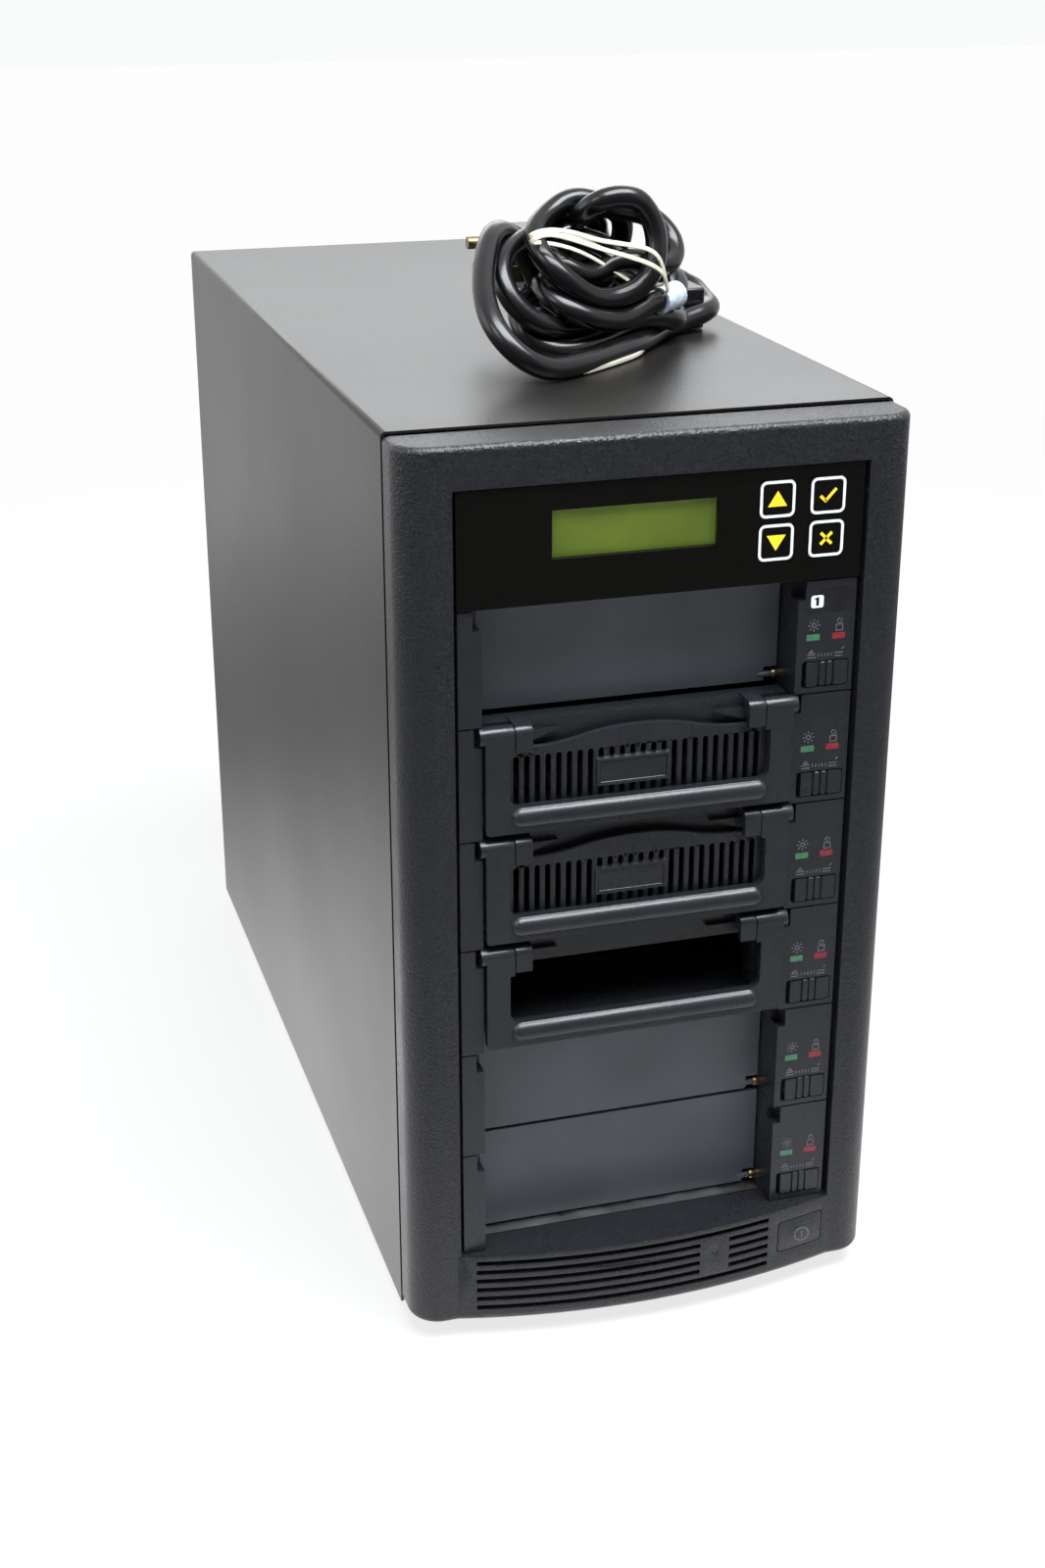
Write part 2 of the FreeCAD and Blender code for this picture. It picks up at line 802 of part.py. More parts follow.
def vents(bezel):
    """Six slots; the four in the middle leave a pad for the lamp."""
    first = BAY_FLOOR - s.vent_top - s.vent_height
    last = first - s.vent_pitch * 5
    cut_front(bezel, *[rectangle(s.vent_left, s.vent_right, level, level + s.vent_height)
                       for level in (first, last)])
    lowest = last + s.vent_pitch
    middle = cut_front(bezel,
                       rectangle(s.vent_left, s.vent_pad_left, lowest, lowest + s.vent_height),
                       rectangle(s.vent_pad_right, s.vent_right, lowest, lowest + s.vent_height))
    bezel.repeat(middle, "V_Axis", s.vent_pitch * 3, 4)


def power_button():
    """The push button follows the bowed front and carries a stem to its switch."""
    button = Piece("power_button", 0, FRONT, 0)
    left, right = s.button_middle - s.button_width / 2, s.button_middle + s.button_width / 2
    low, high = button_level() - s.button_height / 2, button_level() + s.button_height / 2
    edge = s.bulge_width / 2 + s.bezel_wall
    button.add("XY", low, high, bezel_plan(s.button_depth))
    button.cut("XZ", -s.bulge - s.bezel_wall, s.button_depth + s.bezel_wall,
               rectangle(-edge, left, low, high), rectangle(right, edge, low, high))
    button.round(s.bezel_wall / 2, lambda box: (near(box.XMin, left) and near(box.XMax, left)
                 or near(box.XMin, right) and near(box.XMax, right)) and box.ZLength < 0.01)
    button.add("XZ", s.button_depth, s.button_depth + s.button_stem,
               Circle(s.button_middle, button_level(), s.lamp_radius * 2))


def power_switch():
    """The push switch on the chassis, behind the button's stem."""
    switch = Piece("power_switch", 0, FRONT, 0)
    body_front = s.button_depth + s.button_stem + s.button_travel + s.button_gap
    half = s.button_height / 2
    switch.add("XZ", body_front, s.bezel_depth, rectangle(
        s.button_middle - half, s.button_middle + half, button_level() - half, button_level() + half))
    switch.round(s.bezel_wall / 4, lambda box: near(box.YMax, body_front))


def power_lamp():
    group("power_lamp", [
        rod("Y", s.lamp_radius - s.pin_clearance, s.lamp_length, lamp_middle(), 0, lamp_level())],
        0, FRONT - s.bulge + s.bezel_wall / 2)


def feet():
    spots = [(across * (HALF_CASE - s.foot_inset), along)
             for across in (-1, 1)
             for along in (CASE_FRONT + s.foot_inset * 1.5, REAR - s.foot_inset)]
    group("feet", [rod("Z", s.foot_radius - s.steel, s.foot_height, x, y, 0, s.foot_radius)
                   for x, y in spots])


# Control panel

def key_centres():
    left, low = s.key_left, s.key_low
    return {
        "key_up": (left, low + s.key_step_up),
        "key_down": (left, low),
        "key_ok": (left + s.key_step_across, low + s.key_step_up),
        "key_esc": (left + s.key_step_across, low),
    }


def panel_face():
    """The glossy face plate with its display window and four key holes."""
    face = Piece("panel_face", 0, FRONT, bay_level(PANEL_BAY))
    half = s.face_width / 2
    base = (s.bay_pitch - s.face_height) / 2
    hole = s.key_size / 2 + s.key_gap
    holes = [rectangle(x - hole, x + hole, z - hole, z + hole, s.key_corner + s.key_gap)
             for x, z in key_centres().values()]
    face.add("XZ", s.face_recess, s.face_recess + s.face_thick,
             rectangle(-half, half, base, base + s.face_height),
             rectangle(s.window_left, s.window_left + s.window_width,
                       s.window_base, s.window_base + s.window_height),
             *holes)


def display_window():
    gap = s.pin_clearance
    pane = block(s.window_left + gap, s.window_left + s.window_width - gap,
                 s.face_recess + s.window_recess, s.face_recess + s.face_thick,
                 s.window_base + gap, s.window_base + s.window_height - gap)
    group("display_window", [pane], 0, FRONT, bay_level(PANEL_BAY))


def keys():
    for label, (x, z) in key_centres().items():
        key = Piece(label, x, FRONT, bay_level(PANEL_BAY) + z)
        half = s.key_size / 2
        front = s.face_recess - s.panel_gap
        key.add("XZ", front, s.face_recess + s.face_thick - s.panel_gap,
                rectangle(-half, half, -half, half, s.key_corner))
        key.add("XZ", front + s.panel_gap, switch_tip() - s.key_travel - s.pin_clearance,
                Circle(0, 0, s.key_corner))


def board_front():
    return s.face_recess + s.face_thick + s.display_depth


def switch_tip():
    return s.face_recess + s.face_thick + s.key_travel * 2


def panel_board():
    """The circuit board behind the face, with the display module and four tact switches."""
    board = Piece("panel_board", 0, FRONT, bay_level(PANEL_BAY))
    half = HALF_DEVICE - s.housing_wall - s.device_gap
    low, high = s.housing_wall + s.housing_wall, s.bay_pitch - s.housing_wall * 2
    front = board_front()
    board.add("XZ", front, front + s.board_thick, rectangle(-half, half, low, high))
    rim = s.face_thick * 1.5
    board.add("XZ", s.face_recess + s.face_thick, front, rectangle(
        s.window_left - rim, s.window_left + s.window_width + rim,
        s.window_base - rim, s.window_base + s.window_height + rim))
    board.add("XZ", switch_tip() + s.key_travel, front, *[
        rectangle(x - s.key_corner, x + s.key_corner, z - s.key_corner, z + s.key_corner)
        for x, z in key_centres().values()])
    board.add("XZ", switch_tip(), front, *[
        Circle(x, z, s.key_corner / 2) for x, z in key_centres().values()])


def panel_housing():
    """The open tray in the top bay that carries the panel and the controller board."""
    housing = Piece("panel_housing", 0, FRONT, bay_level(PANEL_BAY))
    half, wall = HALF_DEVICE, s.housing_wall
    base, top = s.rack_seam, s.bay_pitch - wall
    start = s.face_recess + s.face_thick
    housing.add("XZ", start, start + s.housing_depth, Outline(
        (-half, base), (half, base), (half, top), (half - wall, top), (half - wall, base + wall),
        (wall - half, base + wall), (wall - half, top), (-half, top)))
    across, along = s.controller_width / 2 - s.board_thick * 3, s.controller_length
    housing.add("XY", base + wall / 2, controller_level(), *[
        Circle(side * across, controller_front() + s.board_thick * 3 + along * share, s.board_thick * 2)
        for side in (-1, 1) for share in (0, 0.9)])


def controller_front():
    return board_front() + s.sill_depth


def controller_level():
    return s.rack_seam + s.housing_wall + s.board_thick * 3


def controller_board():
    """The copy controller: a board with its processor, memory, drive ports and power socket."""
    board = Piece("controller_board", 0, FRONT + controller_front(),
                  bay_level(PANEL_BAY) + controller_level())
    half, length, top = s.controller_width / 2, s.controller_length, s.board_thick
    board.add("XY", 0, top, rectangle(-half, half, 0, length))
    chip = length / 4
    board.add("XY", top / 2, top * 2, rectangle(-chip / 2, chip / 2, chip, chip * 2))
    sink = chip * 0.8
    fins = board.add("XY", top, top + sink / 2, rectangle(
        -sink / 2, -sink / 2 + top, chip * 1.1, chip * 1.9))
    board.repeat(fins, "H_Axis", sink - top, 6)
    board.add("XY", top / 2, top * 1.8, *[
        rectangle(x, x + chip / 2, chip, chip * 2) for x in (chip * 0.8, -chip * 1.3)])
    port = half / 5
    ports = board.add("XY", top / 2, port, rectangle(
        -half + port, -half + port * 2, length - port, length))
    board.repeat(ports, "H_Axis", port * 7.5, 6)
    board.add("XY", top / 2, port * 1.2, *[
        Circle(half - port * 1.5, length * share, port / 3) for share in (0.2, 0.35, 0.5)])


# Racks

def rack_frame(label, bay):
    """A removable-drive rack: two face columns and a hollow body with a tray channel."""
    rack = Piece(label, 0, FRONT, bay_level(bay))
    face, half, seam = s.rack_face / 2, HALF_DEVICE, s.rack_seam
    left, right = MOUTH_LEFT, MOUTH_RIGHT
    front, deep, rear = s.rack_recess, s.mouth_depth, s.rack_recess + s.rack_depth
    top = s.bay_pitch - seam
    over = s.bay_pitch + s.rack_seam
    rack.add("XZ", front, s.bezel_depth, rectangle(-face, face, seam, top))
    rack.add("XZ", deep, rear, rectangle(-half, half, seam, top))
    rack.cut("XZ", front, deep, rectangle(left, right, -seam, over))
    floor, roof = seam + s.rack_floor, top - s.rack_floor
    rack.cut("XZ", deep, rear - s.rack_back, rectangle(left, right, floor, roof))
    rack.cut("XZ", deep, s.roof_setback, rectangle(left, right, roof - seam, over))
    high, low = over, s.bay_pitch - s.notch_height
    rack.cut("XZ", front, s.notch_depth,
             rectangle(left - s.notch_width, left + seam, low, high),
             rectangle(right - seam, right + s.notch_width, low, high))
    wall = s.column_wall
    behind = s.notch_depth + wall
    rack.cut("XZ", behind, rear,
             rectangle(-half + wall, left - wall, floor + wall, roof - wall),
             rectangle(right + wall, half - wall, floor + wall, roof - wall))
    rack.cut("XZ", front, front + s.slot_depth, rectangle(
        s.slot_left, s.slot_left + s.slot_width, s.slot_base, s.slot_base + s.slot_height, wall / 2))
    rack.cut("XZ", front, front + s.lamp_depth, *[
        rectangle(x, x + s.lamp_width, s.lamp_level - s.lamp_height / 2,
                  s.lamp_level + s.lamp_height / 2) for x in (s.lamp_green_left, s.lamp_red_left)])
    plug = backplane_plug()
    rack.cut("XZ", rear - s.rack_back, rear, rectangle(
        plug[0] - wall, plug[1] + wall, plug[2] - wall, plug[3] + wall))
    axis = Circle(s.shutter_axis_back, s.shutter_axis_up, s.shutter_pin + s.pin_clearance)
    rack.cut("YZ", left - wall * 0.8, left, axis)
    rack.cut("YZ", right, right + wall * 0.8, axis)
    behind_shutter = s.shutter_axis_back + s.bay_pitch
    rack.add("XZ", behind_shutter, rear - s.rack_back * 3,
             rectangle(left - seam, left + s.rail_width, floor - seam, floor + s.rail_height),
             rectangle(right - s.rail_width, right + seam, floor - seam, floor + s.rail_height))


def backplane_plug():
    """The drive socket's left, right, low and high sides."""
    return s.mouth_middle - s.bay_pitch / 2, s.mouth_middle + s.bay_pitch / 2, Size(10.0), Size(18.0)


def backplanes():
    rear = s.rack_recess + s.rack_depth
    half = s.backplane_width / 2
    plug = backplane_plug()
    boards = []
    for bay in range(len(RACKS)):
        base = bay_level(bay)
        boards.append(fuse([
            block(s.mouth_middle - half, s.mouth_middle + half, rear, rear + s.board_thick,
                  base + s.column_wall * 2, base + s.column_wall * 2 + s.backplane_height),
            block(plug[0], plug[1], rear - s.rack_back * 5, rear + s.board_thick,
                  base + plug[2], base + plug[3]),
            block(plug[0], plug[0] + s.slot_width, rear, rear + s.sill_depth,
                  base + plug[3] + s.column_wall, base + plug[3] + s.column_wall * 4)]))
    group("backplanes", boards, 0, FRONT)


def lamps(label, left):
    gap, low = s.pin_clearance, s.lamp_level - s.lamp_height / 2
    group(label, [
        block(left + gap, left + s.lamp_width - gap, s.rack_recess, s.rack_recess + s.lamp_depth,
              bay_level(bay) + low + gap, bay_level(bay) + low + s.lamp_height - gap)
        for bay in range(len(RACKS))], 0, FRONT)


def lock_slider(label, bay):
    """The grooved slider of a rack's lock, at the right end of its slot."""
    gap = (s.slot_height - s.slider_height) / 2
    right = s.slot_left + s.slot_width - s.device_gap
    slider = Piece(label, right - s.slider_width, FRONT + s.rack_recess, bay_level(bay) + s.slot_base + gap)
    width, height = s.slider_width, s.slider_height
    slider.add("XZ", -s.slider_proud, s.slot_depth - s.panel_gap, rectangle(0, width, 0, height))
    step = width / 5
    groove = slider.cut("XZ", -s.slider_proud, s.slider_proud * 2,
                        rectangle(step * 1.4, step * 1.4 + s.slider_proud * 2, 0, height))
    slider.repeat(groove, "H_Axis", step * 1.7, 3)


def shutter(label, bay):
    """The spring flap that closes an empty rack; it swings in about its bottom edge."""
    flap = Piece(label, s.mouth_middle, FRONT + s.shutter_axis_back, bay_level(bay) + s.shutter_axis_up)
    shutter_profile(flap, s.shutter_bottom - s.shutter_axis_up, s.shutter_top - s.shutter_axis_up, "XZ")


def shutter_profile(flap, low, high, plane):
    half, thick = s.mouth_width / 2 - s.shutter_side_gap, s.shutter_thick / 2
    room, clear = s.spring_room, s.shutter_axis_up
    flap.add(plane, -thick, thick, Outline(
        (-half, low), (half - room, low), (half - room, clear), (half, clear),
        (half, high), (-half, high)))
    reach = s.mouth_width / 2 + s.column_wall * 0.7
    flap.add("YZ", -reach, s.column_wall - half, Circle(0, 0, s.shutter_pin))
    flap.add("YZ", half - room - s.column_wall, reach, Circle(0, 0, s.shutter_pin))


def folded_shutters():
    """The flaps of the occupied racks, lying on the rack floors under their trays."""
    flaps = []
    for bay in TRAY_BAYS.values():
        flap = Piece(f"folded_{bay}", s.mouth_middle, FRONT + s.shutter_axis_back,
                     bay_level(bay) + s.shutter_axis_up, grouped=True)
        shutter_profile(flap, s.shutter_bottom - s.shutter_axis_up,
                        s.shutter_top - s.shutter_axis_up, "XY")
        flaps.append(flap.body)
    group("folded_shutters", flaps)


def shutter_springs():
    """A torsion coil round each flap's pin, in the corner that the flap leaves free."""
    left = MOUTH_RIGHT - s.spring_length
    inner, outer = s.shutter_pin + s.pin_clearance * 5, s.shutter_pin + s.pin_clearance * 12
    coils = []
    for bay in range(len(RACKS)):
        spot = (left, s.shutter_axis_back, bay_level(bay) + s.shutter_axis_up)
        coils.append(subtract(rod("X", outer, s.spring_length, *spot),
                              rod("X", inner, s.spring_length, *spot)))
    group("shutter_springs", coils, 0, FRONT)


# Trays

def tray_body(label, bay):
    """The drive tray: an open sled with a hooded front frame and the handle's two hooks."""
    tray = Piece(label, s.mouth_middle, FRONT, bay_level(bay))
    half = s.mouth_width / 2 - s.tray_side_gap
    base, wall, rear = s.tray_base, s.tray_wall, s.tray_length
    front, back = s.hood_front, s.hood_front + s.hood_depth
    tray.add("XZ", front, back,
             rectangle(-half, half, base, s.hood_top),
             rectangle(-s.window_half, s.window_half, base + wall, s.hood_bottom))
    side = half - wall
    tray.add("XZ", front + wall, rear, Outline(
        (-half, base), (half, base), (half, s.tray_height), (side, s.tray_height),
        (side, base + wall), (-side, base + wall), (-side, s.tray_height), (-half, s.tray_height)))
    plug_half = s.bay_pitch / 2 + s.column_wall
    tray.add("XZ", rear - wall, rear,
             rectangle(-half, half, base, s.tray_height),
             rectangle(-plug_half, plug_half, base + wall, s.tray_height / 2 + wall))
    hole = s.slot_height / 5
    tray.cut("YZ", -half, half, *[
        Circle(front + s.bay_pitch * number, s.tray_height / 3, hole) for number in (1, 2, 3)])
    vent = tray.cut("XY", base, base + wall, rectangle(
        -s.window_half * 0.6, s.window_half * 0.6, s.bay_pitch, s.bay_pitch + s.slot_height))
    tray.repeat(vent, "V_Axis", s.bay_pitch * 2.4, 5)
    hooks(tray)


def barrel_axis():
    return s.handle_front + s.barrel_radius, s.barrel_level


def hooks(tray):
    """The hooks reach forward over the barrels' line, carry the handle's pins and end in fins."""
    along, level = barrel_axis()
    radius = s.barrel_radius
    crown, toe = level + radius, s.handle_front
    outer = s.handle_half - s.handle_arm_top - s.hook_gap
    inner = outer - s.hook_width
    pin_end = outer + s.hook_gap + s.handle_pin_reach
    for side in (-1, 1):
        low, high = sorted((side * inner, side * outer), key=lambda size: size.number)
        tray.add("YZ", low, high, Outline(
            (s.hood_front + s.hook_leg, crown), (s.hood_front + s.hook_leg, crown - s.hook_leg),
            (toe + s.hook_leg, crown - s.hook_leg), (toe + s.hook_leg, s.hook_low),
            (toe, s.hook_low), (toe, crown, radius * 0.9)))
        tray.add("YZ", low, high, Circle(along, level, radius * 0.9))
        low, high = sorted((side * (inner + s.hook_width / 2), side * pin_end),
                           key=lambda size: size.number)
        tray.add("YZ", low, high, Circle(along, level, s.handle_pin))
        tray.add("XZ", s.hood_front - s.fin_proud, s.hood_front + s.fin_proud, Outline(
            (side * outer, s.fin_low), (side * inner, s.fin_low),
            (side * (inner - s.fin_length), s.fin_top), (side * outer, s.fin_top)))


def tray_grille(label, bay):
    """The slotted insert in a tray's front, with a crested top edge and a raised badge plate."""
    grille = Piece(label, s.mouth_middle, FRONT, bay_level(bay))
    half, base = s.grille_half, s.grille_base
    front, back = s.grille_front, s.grille_front + s.grille_thick
    shoulder, peak = s.grille_shoulder, s.grille_peak
    crest = (peak - shoulder) * 0.55 + shoulder
    foot = (peak - shoulder) * 0.15 + shoulder
    end, knee = half * 0.72, half * 0.38
    grille.add("XZ", front, back, Outline(
        (-half, base), (half, base), (half, shoulder), (end, shoulder),
        Via((end + knee) / 2, foot), (knee, crest), Via(0, peak), (-knee, crest),
        Via(-(end + knee) / 2, foot), (-end, shoulder), (-half, shoulder)))
    grille.add("XZ", back - s.panel_gap, s.hood_front,
               rectangle(-half, s.tray_wall - half, base, shoulder),
               rectangle(half - s.tray_wall, half, base, shoulder))
    span = s.grille_pitch * (s.grille_slots - 1)
    width = s.grille_slot / 2
    slot = grille.cut("XZ", front, back, Outline(
        (-span / 2 - width, s.grille_low + width), (-span / 2 - width, s.grille_high - width),
        Via(-span / 2, s.grille_high), (-span / 2 + width, s.grille_high - width),
        (-span / 2 + width, s.grille_low + width), Via(-span / 2, s.grille_low)))
    grille.repeat(slot, "H_Axis", span, s.grille_slots)
    left, right, rim = s.badge_left, s.badge_left + s.badge_width, s.badge_rim
    grille.add("XZ", front - s.badge_proud, back, rectangle(left, right, s.badge_low, s.badge_high))
    grille.cut("XZ", front - s.badge_proud, front - s.badge_proud / 2,
               rectangle(left + rim, right - rim, s.badge_low + rim, s.badge_high - rim))


def tray_handle(label, bay):
    """The pull handle: two arms hung from barrels, joined by a swelling grip bar."""
    handle = Piece(label, s.mouth_middle, FRONT, bay_level(bay))
    half, low, bar = s.handle_half, s.handle_low, s.handle_bar_top
    inner, inner_top = half - s.handle_arm, half - s.handle_arm_top
    along, level = barrel_axis()
    front, back = s.handle_front, s.handle_front + s.handle_thick
    step = s.handle_step
    handle.add("XZ", front, back, Outline(
        (-half, low, s.bezel_wall / 2), (half, low, s.bezel_wall / 2), (half, level),
        (inner_top, level), (inner_top, step), (inner, step), (inner, bar, s.handle_corner),
        (-inner, bar, s.handle_corner), (-inner, step), (-inner_top, step), (-inner_top, level),
        (-half, level)))
    radius = s.grip_radius
    end, bend = inner - radius, radius * math.sqrt(0.5)
    handle.revolve("XZ", front - s.handle_swell + radius, bar - radius, Outline(
        (-inner, 0), Via(-end - bend, bend), (-end, radius), (end, radius), Via(end + bend, bend),
        (inner, 0)))
    handle.cut("XZ", back, back + radius * 2, rectangle(-inner, inner, low, bar))
    for side in (-1, 1):
        ends = sorted((side * inner_top, side * s.barrel_half), key=lambda size: size.number)
        handle.add("YZ", *ends, Circle(along, level, s.barrel_radius))
        bore_end = inner_top + s.handle_pin_reach + s.pin_clearance * 5
        ends = sorted((side * inner_top, side * bore_end), key=lambda size: size.number)
        handle.cut("YZ", *ends, Circle(along, level, s.handle_pin + s.pin_clearance))


# Power supply, fans, inlet and switch

def fan_screw_spots():
    half = s.fan_hole_pitch / 2
    return [(across * half, s.fan_level + up * half) for across in (-1, 1) for up in (-1, 1)]


def supply_screw_spots():
    across, up = s.supply_width / 2 - s.supply_margin / 2, s.supply_height / 2 - s.supply_margin * 1.5
    return [(side * across, supply_middle() + level * up) for side in (-1, 1) for level in (-1, 1)]


def supply_case():
    """The power supply's steel box, open behind its fan, inlet and switch."""
    box = Piece("supply_case", 0, REAR - s.steel * 2, supply_middle())
    half, tall, steel = s.supply_width / 2, s.supply_height / 2, s.steel
    depth = s.supply_depth
    box.add("XZ", -depth, 0, rectangle(-half, half, -tall, tall),
            rectangle(steel - half, half - steel, steel - tall, tall - steel))
    inlet_half, inlet_tall = s.inlet_width / 2 + s.panel_gap, s.inlet_height / 2 + s.panel_gap
    rocker_half = s.rocker_width / 2 + s.rocker_wall + s.panel_gap
    rocker_tall = s.rocker_height / 2 + s.rocker_wall + s.panel_gap
    box.add("XZ", -steel, 0,
            rectangle(-half, half, -tall, tall),
            Circle(-s.supply_fan_left, 0, s.fan_bore / 2 - s.fan_grip),
            rectangle(s.inlet_across - inlet_half, s.inlet_across + inlet_half,
                      s.inlet_up - inlet_tall, s.inlet_up + inlet_tall),
            rectangle(s.inlet_across - rocker_half, s.inlet_across + rocker_half,
                      s.rocker_up - rocker_tall, s.rocker_up + rocker_tall))
    box.add("XZ", -depth, steel - depth, rectangle(-half, half, -tall, tall))
    slot = box.cut("XZ", -depth, steel - depth, rectangle(
        s.supply_margin * 2 - half, s.supply_margin * 2.8 - half, -tall * 0.6, tall * 0.6))
    box.repeat(slot, "H_Axis", s.supply_width - s.supply_margin * 5, 14)
    box.cut("XZ", -steel, 0, *[
        Circle(x, z - supply_middle(), s.screw_shank) for x, z in supply_screw_spots()])


def fan_frame(label, x, y, z):
    """A square fan frame with its round duct, motor seat and four struts."""
    frame = Piece(label, x, y, z)
    half, depth = s.fan_size / 2, s.fan_depth
    frame.add("XZ", -depth, 0, rectangle(-half, half, -half, half, s.fan_corner),
              Circle(0, 0, s.fan_bore / 2))
    strut = s.fan_corner / 2
    plate = s.fan_hub / 2
    frame.add("XZ", -depth, s.steel * 2 - depth, Circle(0, 0, plate))
    bar = s.fan_bore / 2 + s.steel
    frame.add("XZ", -depth, s.steel * 2 - depth, rectangle(-bar, bar, -strut, strut))
    frame.add("XZ", -depth, s.steel * 2 - depth, rectangle(-strut, strut, -bar, bar))
    hole = s.fan_hole_pitch / 2
    frame.cut("XZ", -depth, 0, *[
        Circle(side * hole, up * hole, s.screw_shank) for side in (-1, 1) for up in (-1, 1)])


def fan_rotor(label, x, y, z):
    """The hub and seven pitched blades, clear of the motor seat by the tip gap."""
    rotor = Piece(label, x, y, z)
    hub, tip = s.fan_hub / 2, s.fan_bore / 2 - s.fan_tip_gap
    inner = s.steel * 2 + s.device_gap - s.fan_depth
    outer = -s.steel * 2
    rotor.add("XZ", inner, outer, Circle(0, 0, hub))
    thick = s.steel * 1.5
    chord = (hub * 0.7)
    low, high = inner + s.steel * 2, outer - s.steel * 2
    blade = rotor.add("YZ", hub * 0.9, tip, Outline(
        (low, -chord), (low + thick, -chord), (high, chord), (high - thick, chord)))
    rotor.turn(blade, "Y", 7)
    rotor.cut("XZ", inner, outer, Circle(0, 0, tip + hub), Circle(0, 0, tip))


def fans():
    supply_rear = REAR - s.steel * 3
    spots = {"supply": (-s.supply_fan_left, supply_rear, supply_middle()),
             "rear": (Size(0), REAR - s.steel * 2, s.fan_level)}
    for name, spot in spots.items():
        fan_frame(name + "_fan_frame", *spot)
        fan_rotor(name + "_fan_rotor", *spot)
    wire = s.guard_wire / 2
    guards = []
    for name, seat in (("supply", REAR - s.steel * 2), ("rear", REAR - s.steel)):
        x, z = spots[name][0], spots[name][2]
        reach = s.fan_bore / 2 - s.fan_grip / 2
        step = reach / 4
        rings = [ring("Y", step * number, s.guard_wire, x, seat, z) for number in (1, 2, 3, 4)]
        bars = [block(x - reach, x + reach, seat, seat + s.guard_wire, z - wire, z + wire),
                block(x - wire, x + wire, seat, seat + s.guard_wire, z - reach, z + reach)]
        guards.append(fuse(rings + bars))
    group("fan_guards", guards)


def power_inlet():
    """The appliance inlet: a flanged shroud with two cut corners and an open socket."""
    inlet = Piece("power_inlet", s.inlet_across, REAR - s.steel * 2, supply_middle() + s.inlet_up)
    half, tall, wall = s.inlet_width / 2, s.inlet_height / 2, s.inlet_wall
    inlet.add("XZ", -s.inlet_depth, s.inlet_lip, rectangle(-half, half, -tall, tall, wall))
    lip = s.inlet_flange
    inlet.add("XZ", 0, s.inlet_lip, rectangle(-half - lip, half + lip, -tall - lip, tall + lip, wall))
    inside, high, cut = half - wall, tall - wall, wall * 3
    inlet.cut("XZ", wall * 1.5 - s.inlet_depth, s.inlet_lip, Outline(
        (-inside, -high), (inside, -high), (inside, high - cut), (inside - cut, high),
        (cut - inside, high), (-inside, high - cut)))
    blade, apart = wall, s.inlet_width / 4
    prongs = [block(x - blade * 0.75, x + blade * 0.75, wall * 1.5 - s.inlet_depth, -wall,
                    z - blade * 1.5, z + blade * 1.5)
              for x, z in ((-apart, -blade), (0, blade * 2), (apart, -blade))]
    group("inlet_prongs", prongs, s.inlet_across, REAR - s.steel * 2, supply_middle() + s.inlet_up)


def rocker_switch():
    """The mains rocker: a flanged frame and the cap that tips across its middle."""
    x, z = s.inlet_across, supply_middle() + s.rocker_up
    y = REAR - s.steel * 2
    frame = Piece("rocker_frame", x, y, z)
    half, tall, wall = s.rocker_width / 2, s.rocker_height / 2, s.rocker_wall
    gap, depth = s.rocker_gap, s.rocker_depth
    frame.add("XZ", -depth, s.inlet_flange,
              rectangle(-half - wall, half + wall, -tall - wall, tall + wall),
              rectangle(-half, half, -tall, tall))
    lip = wall * 2
    frame.add("XZ", 0, s.inlet_flange,
              rectangle(-half - lip, half + lip, -tall - lip, tall + lip),
              rectangle(-half, half, -tall, tall))
    frame.add("XZ", -depth, wall - depth, rectangle(-half, half, -tall, tall))
    pivot = -s.rocker_depth / 3
    frame.cut("XY", -tall - wall, tall + wall, Circle(0, pivot, wall / 2 + s.pin_clearance))
    cap = Piece("rocker_cap", x, y + pivot, z)
    cap_half, cap_tall = half - gap * 4, tall - gap
    low = wall
    cap.add("XY", -cap_tall, cap_tall, Outline(
        (-cap_half, low), Via(0, -wall * 2), (cap_half, low), (cap_half, wall * 2.4),
        (0, wall * 3.2), (-cap_half, wall * 4.4)))
    cap.add("XY", -tall - wall * 0.9, tall + wall * 0.9, Circle(0, 0, wall / 2))


def case_screws():
    """Thumbscrews of the cover and the pan heads of the supply and the rear fan."""
    screws = []
    for x, z in cover_screw_spots():
        screws.append(fuse([
            rod("Y", s.screw_shank, s.rear_out, x, -s.steel * 2, z),
            rod("Y", s.thumb_head, s.rear_out, x, 0, z)]))
    for x, z in supply_screw_spots() + fan_screw_spots():
        screws.append(fuse([
            rod("Y", s.screw_shank, s.steel * 2, x, -s.steel * 3, z),
            rod("Y", s.screw_head, s.steel * 1.5, x, -s.steel, z)]))
    group("case_screws", screws, 0, REAR)


# Mains lead on the lid

def lead_hank():
    """The outer shape of the bundled turns: tied in the middle, fanning out at both ends."""
    hank = Piece("lead_hank", s.hank_across, s.hank_along, CASE_TOP, turned=HANK_TURN)
    left, right, tall = s.hank_left, s.hank_right, s.hank_height
    waist, fan, ply = s.hank_waist / 2, s.hank_fan / 2, s.lead_diameter
    hank.loft("YZ",
              (-left, rectangle(-fan * 0.7, fan * 0.3, ply, tall * 0.55, ply)),
              (-left * 0.75, rectangle(-fan, fan, 0, tall * 0.85, ply)),
              (Size(0), rectangle(-waist, fan, 0, tall * 0.72, ply)),
              (right * 0.7, rectangle(-fan, fan, ply / 2, tall, ply)),
              (right, rectangle(-fan * 0.6, fan * 0.6, ply, tall * 0.75, ply)))


